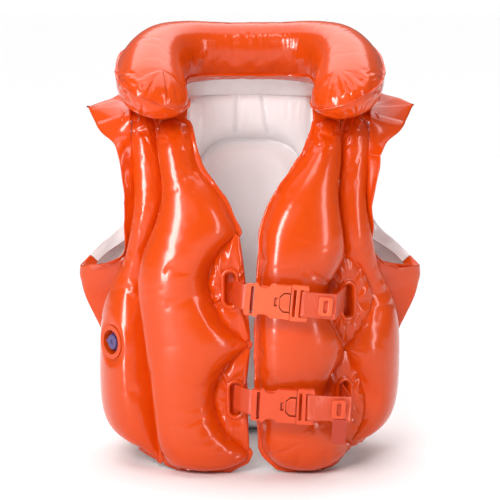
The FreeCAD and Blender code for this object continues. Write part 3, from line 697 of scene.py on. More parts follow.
@dataclass
class Chamber:
    """An air chamber between two films, welded all round its outline."""

    name: str
    first: Column
    last: Column
    bottom: Rows
    top: Rows
    place: Callable[[Array, Array, Array], Array] = WALL.point
    front_fill: float = 0.82
    back_fill: float = 0.74
    front_cap: float = 34.0
    back_cap: float = 30.0
    puckers: Puckers = field(default_factory=lambda: Puckers(1))
    shape: tuple[int, int] = (64, 230)
    front_shape: Optional[Reshape] = None
    back_shape: Optional[Reshape] = None
    inflation: Inflation = Inflation()
    lined: bool = True

    def flat(self) -> tuple[Array, Array]:
        """Returns the arc length and height of every grid point of the flat film. Points crowd towards the
        welds as a cosine does, because the film turns over fastest there."""
        columns, rows = self.shape
        u = 0.5 - 0.5 * np.cos(np.linspace(0, math.pi, columns))
        v = np.linspace(0, 1, rows)
        crowd = 0.5 - 0.5 * np.cos(v * math.pi)
        v = v + 0.35 * (crowd - v)
        low = np.interp(u, *np.array(self.bottom, float).T)
        high = np.interp(u, *np.array(self.top, float).T)
        z = low[:, None] + (high - low)[:, None] * v[None, :]
        first, last = self.first(z), self.last(z)
        return first + (last - first) * u[:, None], z

    def outline(self, count: int = 260) -> Array:
        """Returns the weld's closed outline in the flat film, as (arc length, height) corners."""
        s, z = self.flat()
        ring = np.concatenate([np.stack([s[:, 0], z[:, 0]], -1), np.stack([s[-1, 1:], z[-1, 1:]], -1),
                               np.stack([s[-2::-1, -1], z[-2::-1, -1]], -1),
                               np.stack([s[0, -2:0:-1], z[0, -2:0:-1]], -1)])
        return resample(ring, count, closed=True)

    def heights(self) -> tuple[Array, Array, Array, Array, Array]:
        """Returns arc length, height above the hem, how far the front and back films stand out, and the
        distance from the weld."""
        s, z = self.flat()
        outline = self.outline()
        perimeter = float(np.linalg.norm(np.diff(np.vstack([outline, outline[:1]]), axis=0), axis=1).sum())
        high, inward, along = pillow_height(np.stack([s.ravel(), z.ravel()], -1), outline)
        rim = np.zeros(s.shape, bool)
        rim[0], rim[-1], rim[:, 0], rim[:, -1] = True, True, True, True
        tight = np.interp(along, np.linspace(0, perimeter, len(outline), endpoint=False),
                          self.puckers.tightness(outline), period=perimeter)
        groove = (self.puckers.groove(along, inward, perimeter) * tight).reshape(s.shape)
        high, inward = high.reshape(s.shape), inward.reshape(s.shape)
        drift = soft_noise(np.stack([s, z], -1), 90, self.puckers.seed + 50) * smoothstep(2, 22, inward)
        sides = []
        for fill, cap, share, change in ((self.front_fill, self.front_cap, 1.0, self.front_shape),
                                         (self.back_fill, self.back_cap, 0.8, self.back_shape)):
            side = fill * high
            side = side / (1 + (side / cap) ** 4) ** 0.25
            side = side - groove * share * np.minimum(1, side / 5) + 0.45 * drift
            if change is not None:
                side = change(side, s, z, inward)
            sides.append(np.where(rim, 0.0, np.maximum(side, 0.05)))
        return s, z, sides[0], sides[1], inward

    def build(self, material: bpy.types.Material,
              reshape: Optional[Callable[[Array], Array]] = None) -> bpy.types.Object:
        """Makes the chamber.

        Args:
            material: Its finish.
            reshape: Optional last change of both films' (n, 3) places.

        Returns:
            The closed piece.
        """
        s, z, front, back, inward = self.heights()
        outer, inner = self.place(s, z, front), self.place(s, z, -back)
        outer, inner = self.inflation.settle(outer, inner, inward, self.lined)
        if reshape is not None:
            outer, inner = (reshape(film.reshape(-1, 3)).reshape(film.shape) for film in (outer, inner))
        index, other = film_pair(*self.shape)
        points = np.vstack([outer.reshape(-1, 3), inner[1:-1, 1:-1].reshape(-1, 3)])
        piece = make_piece(self.name, points, np.vstack([quads(index), quads(other)[:, ::-1]]), material)
        return outward(piece)

    def lining(self) -> Array:
        """Returns the grid of places just inside the inner film, for the white film that lines it."""
        s, z, _, back, _ = self.heights()
        return self.place(s, z, -back - 1.3)

    def lining_band(self, reach: float = 7.0) -> Array:
        """Returns a band of places just inside the weld, for the white film that covers it."""
        ring = self.outline(400)
        way = np.roll(ring, -1, 0) - np.roll(ring, 1, 0)
        way /= np.linalg.norm(way, axis=1, keepdims=True)
        across = np.stack([way[:, 1], -way[:, 0]], -1)
        steps = np.linspace(-reach, reach, 5)
        band = ring[:, None] + across[:, None] * steps[None, :, None]
        band = np.vstack([band, band[:1]])
        return self.place(band[..., 0], np.maximum(band[..., 1], 1.0), -2.4 + 0 * band[..., 0])

    def weld(self, material: bpy.types.Material, width: float = 4.0, seed: int = 3) -> bpy.types.Object:
        """Makes the flat welded edge round the chamber: a strip along the outline, with a lightly uneven cut
        edge that waves in and out of its plane.

        Args:
            material: Its finish.
            width: How far it stands out from the chamber.
            seed: Fixes the unevenness.

        Returns:
            The piece.
        """
        ring = self.outline(620)
        ahead, behind = np.roll(ring, -2, 0), np.roll(ring, 2, 0)
        way = ahead - behind
        way /= np.linalg.norm(way, axis=1, keepdims=True)
        area = 0.5 * (ring[:, 0] * np.roll(ring[:, 1], -1) - np.roll(ring[:, 0], -1) * ring[:, 1]).sum()
        normal = np.stack([way[:, 1], -way[:, 0]], -1) * (1 if area > 0 else -1)
        run = np.arange(len(ring))[:, None] * 1.0
        jag = 0.12 * soft_noise(run * 1.7, 5.0, seed) + 0.4 * soft_noise(run, 24.0, seed + 1)
        ripple = 0.4 * soft_noise(run, 9.0, seed + 2) + 0.6 * soft_noise(run, 30.0, seed + 3)
        steps = np.array([-1.6, 0.0, 0.5 * width, width])
        rows = []
        for step in steps:
            share = max(step, 0.0) / width
            place = ring + normal * (step + share * jag)[:, None]
            rows.append(self.place(place[:, 0], place[:, 1], share * ripple))
        strip = np.stack(rows, 1)
        strip[..., 2] = np.maximum(strip[..., 2], 0.4)
        piece = make_grid(self.name + "_weld", strip, material, closed_rows=True)
        return thicken(piece, WELD_WALL)


def outward(piece: bpy.types.Object) -> bpy.types.Object:
    """Turns every face of a closed piece outwards and returns it."""
    work = bmesh.new()
    work.from_mesh(piece.data)
    bmesh.ops.remove_doubles(work, verts=work.verts, dist=DOUBLED)
    bmesh.ops.recalc_face_normals(work, faces=work.faces)
    work.to_mesh(piece.data)
    work.free()
    return piece


@dataclass
class ValveSeat:
    """Where a valve sits: the flat and the well that it presses into its chamber."""

    centre: Array
    axis: Array
    disc: float = 17.0
    cup: float = 12.0
    depth: float = 11.0

    def press(self, points: Array) -> Array:
        """Returns film points flattened under the valve's disc and sunk into a well under its cup."""
        away = points - self.centre
        lift = away @ self.axis
        radius = np.linalg.norm(away - lift[:, None] * self.axis, axis=1)
        near = (np.abs(lift) < 30).astype(float)
        flat = (1 - smoothstep(self.disc - 1, self.disc + 10, radius)) * near
        well = (1 - smoothstep(self.cup + 0.9, self.cup + 2.6, radius)) * near
        target = -1.0 - 0.6 * flat - self.depth * well
        return points + ((target - lift) * flat)[:, None] * self.axis


def arch(left: Rows, crown: float) -> list[tuple[float, float]]:
    """Returns the (share, height) rows of an even arch from its left half and the height of its crown."""
    return [*left, (0.5, crown), *[(round(1 - share, 2), height) for share, height in left[::-1]]]


@dataclass
class BodyPanels:
    """The front chambers, the back chamber, the neck roll, and their white linings."""

    finishes: Finishes
    VALVE_NEAR: float = 104.3
    VALVE_FAR: float = WALL.side + 8.85

    def front_chambers(self) -> list[Chamber]:
        """Returns the four front chambers. Each weld is a stretch of curve between corners, where the points
        between the strap webs are."""
        wall = WALL

        def front(rows: Rows) -> list[tuple[float, float]]:
            return [(z, float(wall.along(x))) for z, x in rows]

        def side(rows: Rows, hand: Hand) -> list[tuple[float, float]]:
            return [(z, hand.value * s) for z, s in rows]

        end = wall.side
        shoulder_top = [(0, 338), (0.2, 349), (0.5, 353), (0.8, 348), (1, 334)]
        left_seam = [(-2, -79), (20, -85), (45, -89), (75, -92), (103, -95), (128, -97), (152, -99),
                     (188, -102), (217, -98), (237, -91), (269, -84), (300, -86), (326, -89), (344, -87)]
        left_free = [[(-2, -10), (20, -1)], [(20, -1), (45, -25), (75, -34), (103, -25), (128, -1)],
                     [(128, -1), (152, -26), (188, -40), (217, -30), (237, -12)],
                     [(237, -12), (250, -17), (269, -27), (300, -49), (326, -57), (344, -62)]]
        right_free = [(-2, 36), (22, 14), (44, 11), (98, 8), (145, 8), (190, 10), (212, 11), (240, 13),
                      (269, 24), (300, 46), (326, 60), (344, 64)]
        right_seam = [[(-2, 88), (24, 99)], [(24, 99), (44, 82), (70, 70), (98, 78), (121, 91)],
                      [(121, 91), (145, 80), (168, 71), (190, 76), (212, 90)],
                      [(212, 90), (240, 87), (269, 84), (300, 86), (326, 87), (344, 86)]]
        left_side = [[(5, 92), (27, 95), (70, 99), (120, 104), (160, 107), (180, 109), (200, 106), (217, 103),
                      (240, 96), (269, 89), (300, 91), (324, 95), (354, 99)]]
        left_rear = [(5, end - 76), (27, end - 3), (70, end + 8), (120, end + 10), (160, end + 4),
                     (180, end - 14), (200, end - 34), (217, end - 44), (240, end - 50), (269, end - 56),
                     (300, end - 54), (324, end - 50), (354, end - 48)]
        right_side = [[(20, 104), (44, 112), (70, 115), (98, 104), (121, 96)],
                      [(121, 96), (145, 112), (168, 122), (190, 115), (212, 96)],
                      [(212, 96), (240, 92), (269, 90), (300, 92), (324, 94), (354, 98)]]
        right_rear = [(20, end - 12), (44, end + 4), (70, end + 8), (98, end + 9), (121, end + 10),
                      (145, end + 8), (168, end), (190, end - 24), (212, end - 40), (240, end - 50),
                      (269, end - 56), (300, end - 54), (324, end - 50), (354, end - 48)]
        return [
            Chamber("left_inner_chamber", column(front(left_seam)), column(*[front(r) for r in left_free]),
                    [(0, 7), (0.2, 3.5), (0.5, 1), (0.8, 3.5), (1, 12)], [(0, 342), (0.5, 345), (1, 340)],
                    puckers=Puckers(11)),
            Chamber("right_inner_chamber", column(front(right_free)), column(*[front(r) for r in right_seam]),
                    [(0, 7), (0.2, 2), (0.5, 0.5), (0.8, 6), (1, 20)], [(0, 340), (0.5, 345), (1, 342)],
                    puckers=Puckers(12)),
            Chamber("left_outer_chamber", column(*[side(r, Hand.LEFT) for r in left_side]),
                    column(side(left_rear, Hand.LEFT)),
                    [(0, 8), (0.3, 14), (0.7, 26), (1, 36)], shoulder_top,
                    puckers=Puckers(13)),
            Chamber("right_outer_chamber", column(*[side(r, Hand.RIGHT) for r in right_side]),
                    column(side(right_rear, Hand.RIGHT)),
                    [(0, 24), (0.3, 24), (0.7, 32), (1, 42)], shoulder_top,
                    puckers=Puckers(14)),
        ]

    def back_chambers(self) -> list[Chamber]:
        """Returns the back chamber, drawn in along two welded lines, and the neck roll with its folds."""
        line_at, line_depth, roll_half = 36.0, 17.0, 65.0
        half = column([(0, 78), (25, 100), (90, 108), (170, 106), (205, 94), (250, 82), (290, 74), (312, 66)])

        def place(a: Array, z: Array, out: Array) -> Array:
            return WALL.point(WALL.back(a), z, out)

        def lines(out: Array, a: Array, z: Array, inward: Array) -> Array:
            ends = smoothstep(48, 66, z) * (1 - smoothstep(238, 256, z)) * smoothstep(4, 20, inward)
            return out - line_depth * np.exp(-np.abs((np.abs(a) - line_at) / 7.5) ** 1.3) * ends

        def folds(out: Array, a: Array, z: Array, inward: Array) -> Array:
            cut = (5.5 * np.exp(-((a - 17 + 0.16 * (z - 340)) / 2.4) ** 2)
                   + 5.0 * np.exp(-((a + 14 - 0.03 * (z - 340)) / 2.4) ** 2))
            fine = np.abs(soft_noise(np.stack([a, 0.1 * z], -1), 12, 24)) * np.exp(-((z - 345) / 12) ** 2)
            return out - (cut + 0.8 * fine) * smoothstep(2, 9, inward)

        def soft_folds(out: Array, a: Array, z: Array, inward: Array) -> Array:
            waves = soft_noise(np.stack([a, 0.25 * z], -1), 46, 23)
            return out + 1.6 * waves * smoothstep(2, 16, inward)

        back = Chamber("back_chamber", lambda z: -half(z), half,
                       [(0, 8), (0.15, 2), (0.5, 0.5), (0.85, 2), (1, 8)],
                       arch([(0, 250), (0.06, 271), (0.13, 293), (0.19, 303), (0.27, 309), (0.36, 311.5)], 312),
                       place, front_fill=0.62, back_fill=0.46, front_cap=31.0, back_cap=27.0,
                       puckers=Puckers(21, 12.0, 1.4, 16.0), shape=(120, 200), front_shape=lines,
                       back_shape=soft_folds)
        roll = Chamber("neck_roll", lambda z: np.full(np.shape(z), -roll_half),
                       lambda z: np.full(np.shape(z), roll_half),
                       arch([(0, 273), (0.05, 284), (0.11, 297), (0.17, 306), (0.25, 312), (0.34, 314.5)], 315),
                       [(0, 362), (0.5, 365), (1, 362)],
                       place, front_fill=0.95, back_fill=0.9, front_cap=28.0, back_cap=25.0,
                       puckers=Puckers(22, 9.0, 1.2, 12.0), shape=(110, 70), back_shape=folds)
        return [back, roll]

    def valve_seat(self) -> ValveSeat:
        """Returns the seat of the valve low on the left outer chamber."""
        z, s_at, near, far = 124.0, -129.0, -self.VALVE_NEAR, -self.VALVE_FAR
        middle, half = 0.5 * (near + far), 0.5 * abs(far - near)

        def skin(s: float) -> Array:
            return WALL.point(s, z, 30.0 * math.sqrt(1 - ((s - middle) / half) ** 2))

        axis = np.cross(skin(s_at + 1.0) - skin(s_at - 1.0), (0, 0, 1.0))
        return ValveSeat(skin(s_at), axis / np.linalg.norm(axis))

    def build(self) -> None:
        """Makes the chambers, their welded edges and their linings."""
        orange, white = self.finishes.orange, self.finishes.white
        linings: dict[str, list[Array]] = {"left_front_liner": [], "right_front_liner": [], "back_liner": []}
        seat = self.valve_seat()
        for chamber in self.front_chambers() + self.back_chambers():
            press = seat.press if chamber.name == "left_outer_chamber" else None
            piece = chamber.build(orange, press)
            attach(piece, "vest", "orange_vinyl", chamber.name)
            weld = chamber.weld(orange, seed=chamber.puckers.seed)
            attach(weld, "vest", "orange_vinyl")
            key = "back_liner" if chamber.name in ("back_chamber", "neck_roll") else (
                chamber.name.split("_")[0] + "_front_liner")
            linings[key].append(chamber.lining())
            if key == "back_liner":
                linings[key].append(chamber.lining_band())
        for name, grids in linings.items():
            points, faces, start = [], [], 0
            for grid in grids:
                index = np.arange(grid.shape[0] * grid.shape[1]).reshape(grid.shape[:2])
                faces.append(quads(index)[:, ::-1] + start)
                points.append(grid.reshape(-1, 3))
                start += len(points[-1])
            piece = thicken(make_piece(name, np.vstack(points), np.vstack(faces), white), LINING_WALL)
            attach(piece, "vest", "white_vinyl", name)


def attach(piece: bpy.types.Object, body: str, slot: str, *nodes: str) -> bpy.types.Object:
    """Rides a piece on a body, hides the CAD nodes that it stands for, and logs it.

    Args:
        piece: The finished piece.
        body: The body that it moves with.
        slot: A material slot's name; not used.
        nodes: The nodes that it replaces.

    Returns:
        The piece.
    """
    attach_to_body(piece, body)
    if nodes:
        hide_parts(*nodes)
    LOG.info("%s: %d vertices on %s", piece.name, len(piece.data.vertices), body)
    return piece


# ---- loose films ----------------------------------------------------------------------------------
@dataclass
class LooseFilms:
    """Film round the armholes, over the shoulders and down the sides, with its creases."""

    finishes: Finishes
    root: Rows = ((-119, -28, 348), (-118, -38, 330), (-115, -44, 305), (-112, -46, 270), (-114, -43, 238),
                  (-124, -36, 208), (-160, 4, 186), (-150, 40, 199), (-114, 78, 222), (-94, 91, 252),
                  (-80, 96, 292), (-66, 98, 325), (-76, 84, 350), (-112, 40, 358), (-120, 4, 358))
    rim: Rows = ((-148, -26, 331), (-133, -45, 321), (-127, -53, 303), (-121, -56, 266), (-122, -52, 238),
                 (-127, -44, 207), (-170, 6, 191), (-155, 43, 208), (-132, 75, 228), (-126, 92, 256),
                 (-126, 95, 300), (-128, 78, 346), (-133, 42, 363), (-127, 14, 368), (-161, 2, 354),
                 (-162, 1, 353))

    @staticmethod
    def facing(root: Array, rim: Array) -> Array:
        """Returns the rim's places that face each of the root's, moving evenly round both loops."""
        count, half_window = len(root), 30
        gap = np.linalg.norm(root[:, None] - rim[None], axis=-1).argmin(1)
        near = np.unwrap(gap * 2 * math.pi / count) * count / (2 * math.pi)
        ramp = near[0] + (near[-1] - near[0]) * np.arange(count) / (count - 1)
        window = np.hanning(2 * half_window + 1)
        lag = near - ramp
        lag = np.convolve(np.concatenate([lag[-half_window:], lag, lag[:half_window]]),
                          window / window.sum(), "valid")
        at = (ramp + lag) % count
        low = np.floor(at).astype(int) % count
        return rim[low] + (rim[(low + 1) % count] - rim[low]) * (at % 1)[:, None]

    def flange(self, hand: Hand) -> bpy.types.Object:
        """Makes the loose edge round an armhole: a closed strip from root to rim, creased along its run."""
        turn = np.array([-hand.value, 1, 1])
        count, across = 420, 15
        root = smooth_curve(np.array(self.root) * turn, count, True)
        rim = self.facing(root, smooth_curve(np.array(self.rim) * turn, count, True))
        t = np.linspace(-0.06, 1, across)[None, :, None]
        grid = root[:, None] * (1 - t) + rim[:, None] * t
        way = np.roll(grid, -1, 0) - np.roll(grid, 1, 0)
        side = np.gradient(grid, axis=1)
        normal = np.cross(way, side)
        normal /= np.linalg.norm(normal, axis=-1, keepdims=True)
        run = np.arange(count)[:, None] * np.ones((1, across)) * 1.25
        seed = 40 if hand is Hand.LEFT else 60
        where = np.stack([run, 22 * t[..., 0] * np.ones((count, 1))], -1)
        sharp = 1 - np.abs(soft_noise(where * np.array([1, 0.3]), 46, seed)) ** 0.75
        wave = 2.6 * sharp + 0.7 * soft_noise(where, 24, seed + 1)
        free = np.clip(t[..., 0], 0, 1) ** 0.8
        grid = grid + normal * (wave * (0.25 + 0.75 * free))[..., None]
        rear = slice(int(count * 0.40), int(count * 0.8))
        lining = make_grid(hand.word + "_armhole_lining", grid[rear] + np.array([0, -1.4, 0.5]),
                           self.finishes.white)
        attach(thicken(lining, LINING_WALL), "vest", "white_vinyl")
        piece = make_grid(hand.word + "_armhole_flange", grid, self.finishes.orange, closed_rows=True)
        return attach(thicken(piece, FILM_WALL), "vest", "orange_vinyl", hand.word + "_armhole_flange")

    def shoulder(self, hand: Hand) -> bpy.types.Object:
        """Makes the film over a shoulder, from the front chambers' tops to the neck roll."""
        y, crest = np.array([(-31, 341), (-28, 345), (-22, 348), (-14, 350.5), (0, 354), (24, 357), (48, 358),
                             (70, 357), (84, 352)]).T
        path = smooth_curve(np.stack([y, crest], -1), 70)
        across = np.linspace(62, 127, 40)
        lift = np.interp(across, [62, 98, 112, 127], [0.0, -0.5, 0.5, 1.5])
        grid = np.empty((70, 40, 3))
        grid[..., 0] = hand.value * across
        grid[..., 1] = path[:, :1]
        grid[..., 2] = path[:, 1:] + lift[None, :]
        grid[..., 2] -= 0.8 * np.abs(soft_noise(grid, 30, 71))
        piece = thicken(make_grid(hand.word + "_shoulder_web", grid, self.finishes.orange), FILM_WALL)
        return attach(piece, "vest", "orange_vinyl", hand.word + "_shoulder_web")

    def side(self, hand: Hand, colour: bpy.types.Material, name: str, inset: float,
             node: str = "") -> bpy.types.Object:
        """Makes a film below an armhole that joins the front to the back and stands out in a fold.

        Args:
            hand: Which side.
            colour: Its finish.
            name: The piece's name.
            inset: How far inside the outer film it lies.
            node: The node that it replaces, if any.

        Returns:
            The piece.
        """
        t = np.linspace(0, 1, 70)[None, :]
        crest = WALL.side + 8
        edge = WALL.side - 34 + (WALL.side - 66) * t
        front_dip = 14 * np.clip((crest - edge) / 42, 0, 1) ** 1.6
        top = 191 + front_dip + 50 * np.clip((edge - crest) / 72, 0, 1) ** 1.4
        z = 30 + (top - 30) * np.linspace(0, 1, 96)[:, None]
        flare = column([(30, 1), (38, 8), (47, 22), (56, 19), (70, 18), (90, 21), (105, 25), (125, 30),
                        (140, 37), (156, 44), (172, 48), (193, 50), (250, 40)])(z)
        front = column([(30, -8), (120, 0), (160, -4), (180, -22), (193, -34), (210, -38)])(z) + WALL.side
        rear = 2 * WALL.side - 100 + 0 * z
        s = front + (rear - front) * t
        away = np.where(s < crest, (crest - s) / (crest - front), (s - crest) / (rear - crest))
        ridge = 1 - away ** 1.7
        crease = soft_noise(np.stack([s, z * 0.5], -1), 34, 81)
        out = flare * ridge - inset + (1.2 + 2.4 * smoothstep(120, 190, z)) * (
            0.6 - np.abs(crease)) * np.minimum(1, 4 * ridge)
        grid = WALL.point(hand.value * s, z, out)
        piece = thicken(make_grid(name, grid, colour), WEB_WALL)
        nodes = (node,) if node else ()
        return attach(piece, "vest", "orange_vinyl" if node else "white_vinyl", *nodes)

    def seam(self, hand: Hand) -> bpy.types.Object:
        """Makes the upright welded lip on a side, widest a third of its way up."""
        z = np.linspace(26, 84, 50)
        reach = column([(26, 20), (34, 25), (44, 27), (60, 24), (84, 14)])(z)
        t = np.linspace(0, 1, 9)
        base = WALL.point(hand.value * (WALL.side + 34), z, 0.0)
        grid = base[:, None] + np.stack([hand.value * reach[:, None] * t, 3 * t * np.ones((50, 1)),
                                         np.zeros((50, 9))], -1)
        grid[..., 1] += (2.0 * soft_noise(grid[..., [2]], 19, 91 + hand.value) * t)
        piece = thicken(make_grid(hand.word + "_side_seam", grid, self.finishes.orange), SEAM_WALL)
        return attach(piece, "vest", "orange_vinyl", hand.word + "_side_seam")

    def neck(self) -> None:
        """Makes the film from the neck roll up to the collar: white inside and orange outside."""
        for name, colour, slot, setback in (("neck_web_inside", self.finishes.white, "white_vinyl", 0.0),
                                            ("neck_web_outside", self.finishes.orange, "orange_vinyl", 1.2)):
            x = np.linspace(-70, 70, 120)
            drop = np.linspace(0, 1, 22)
            top = np.stack([x, 60 - 9 * (x / 70) ** 4 + 0 * x, 380 + 0 * x], -1)
            low = np.stack([x, 86 - 10 * (x / 70) ** 4, 360 + 0 * x], -1)
            grid = top[None] * (1 - drop[:, None, None]) + low[None] * drop[:, None, None]
            fold = 1.6 * soft_noise(np.stack([x * 1.0, 0 * x], -1), 15, 101)[None, :] * np.sin(
                math.pi * drop)[:, None]
            grid[..., 1] += fold + setback
            piece = thicken(make_grid(name, grid, colour), WEB_WALL)
            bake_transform(piece)
            if slot == "orange_vinyl":
                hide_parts("neck_web", "collar_strip")

    def build(self) -> None:
        """Makes every loose film."""
        for hand in Hand:
            self.flange(hand)
            self.shoulder(hand)
            self.side(hand, self.finishes.orange, hand.word + "_side_web", 0.0, hand.word + "_side_web")
            self.side(hand, self.finishes.white, hand.word + "_side_lining", 1.6)
            self.seam(hand)
        self.neck()


# ---- strap webs -------------------------------------------------------------------------------------
@dataclass
class Placement:
    """A right-handed local frame: origin and unit axes."""

    origin: Array
    u: Array
    v: Array
    w: Array

    def carry(self, local: Array) -> Array:
        """Returns local (..., 3) places in the vest's frame."""
        return self.origin + local[..., :1] * self.u + local[..., 1:2] * self.v + local[..., 2:3] * self.w


@dataclass
class SlotWebs:
    """The flat welded islands in the front panels, and the oval rims moulded round their slots."""

    finishes: Finishes
    slot_half_width: float = 5.5
    slot_half_height: float = 16.5

    def placement(self, x: float, z: float, turn: float) -> Placement:
        """Returns the frame of a web: u across it, v up and w out of the vest."""
        a = math.radians(turn)
        return Placement(WALL.point(WALL.along(x), z, 0.0), np.array([math.cos(a), math.sin(a), 0]),
                         np.array([0.0, 0, 1]), np.array([math.sin(a), -math.cos(a), 0]))

    def oval(self, grow: float, count: int) -> Array:
        """Returns a slot's outline grown by a margin: straight sides and half-circle ends."""
        r = self.slot_half_width + grow
        straight = self.slot_half_height - self.slot_half_width
        a = np.linspace(0, 2 * math.pi, 400, endpoint=False)
        ring = np.stack([r * np.cos(a), r * np.sin(a) + straight * np.sign(np.sin(a))], -1)
        return resample(ring, count, closed=True)

    def web(self, key: str, place: Placement, outline: Rows, seed: int) -> None:
        """Makes one web and its rim.

        Args:
            key: Start of the nodes' names.
            place: The web's frame.
            outline: Corners of the web about the slot's centre.
            seed: Fixes its creases.
        """
        count, steps = 220, 26
        inner = self.oval(-0.2, count)
        outer = resample(np.array(outline, float), count * 4, closed=True)
        angle = np.arctan2(outer[:, 1], outer[:, 0])
        order = np.argsort(angle)
        want = np.arctan2(inner[:, 1], inner[:, 0])
        radius = np.interp(want, angle[order], np.linalg.norm(outer, axis=1)[order], period=2 * math.pi)
        edge = np.stack([np.cos(want), np.sin(want)], -1) * radius[:, None]
        t = np.linspace(0, 1, steps)[None, :, None]
        flat = inner[:, None] * (1 - t) + edge[:, None] * t
        share = t[..., 0] * np.ones((count, 1))
        run = np.arange(count)[:, None] * np.ones((1, steps)) * 0.8
        crease = soft_noise(np.stack([run, 8 * share], -1), 17, seed)
        rise = 3.2 * np.sin(math.pi * share) ** 0.8
        rise += 1.5 * (0.5 - np.abs(crease)) * smoothstep(0.15, 0.5, share)
        rise += 2.5 * smoothstep(0.2, 0.0, share)
        local = np.concatenate([flat, rise[..., None]], -1)
        rim_lift = float(rise[:, 0].mean())
        rings = ((0.02, 12.0), (0.5, 12.0), (0.9, 11.0), (1.0, 9.0), (1.0, 5.0), (1.0, 2.0))
        pocket = [np.concatenate([inner * grow, np.full((count, 1), rim_lift - deep)], -1)
                  for grow, deep in rings]
        grid = place.carry(np.concatenate([np.stack(pocket, 1), local], 1))
        piece = thicken(make_grid(key + "_slot_web", grid, self.finishes.orange, closed_rows=True), FILM_WALL)
        attach(piece, "vest", "orange_vinyl", key + "_slot_web")
        ring, turns = self.oval(1.7, 200), 26
        ahead = np.roll(ring, -1, 0) - np.roll(ring, 1, 0)
        ahead /= np.linalg.norm(ahead, axis=1, keepdims=True)
        away = np.stack([ahead[:, 1], -ahead[:, 0]], -1)
        a = np.linspace(0, 2 * math.pi, turns, endpoint=False)
        local = np.empty((len(ring), turns, 3))
        local[..., :2] = ring[:, None] + away[:, None] * (2.0 * np.cos(a))[None, :, None]
        local[..., 2] = 3.0 + 1.9 * np.sin(a)[None, :]
        rim = make_grid(key + "_slot_rim", place.carry(local), self.finishes.orange, True, True)
        attach(outward(rim), "vest", "orange_vinyl", key + "_slot_rim")

    def build(self) -> None:
        """Makes the four webs."""
        table = {
            "left_upper": (-19.0, 183.0, -3.0,
                           [(-22, 5), (-13, 34), (5, 54), (9, 50), (13, 20), (17, -20), (19, -50), (12, -54),
                            (-9, -35)]),
            "left_lower": (-14.0, 74.0, -3.0,
                           [(-22, 1), (-14, 28), (8, 52), (14, 50), (11, 20), (12, -20), (13, -50), (8, -54),
                            (-14, -32)]),
            "right_upper": (95.0, 168.0, 24.0,
                            [(-26, 0), (-21, 21), (-7, 42), (4, 44), (20, 24), (29, 0), (20, -25), (5, -44),
                             (-7, -42), (-19, -24)]),
            "right_lower": (92.0, 72.0, 24.0,
                            [(-24, -2), (-18, 25), (-5, 45), (3, 47), (15, 27), (24, -2), (21, -28), (9, -47),
                             (-8, -44), (-16, -27)]),
        }
        for seed, (key, (x, z, turn, outline)) in enumerate(table.items()):
            self.web(key, self.placement(x, z, turn), outline, 110 + seed)


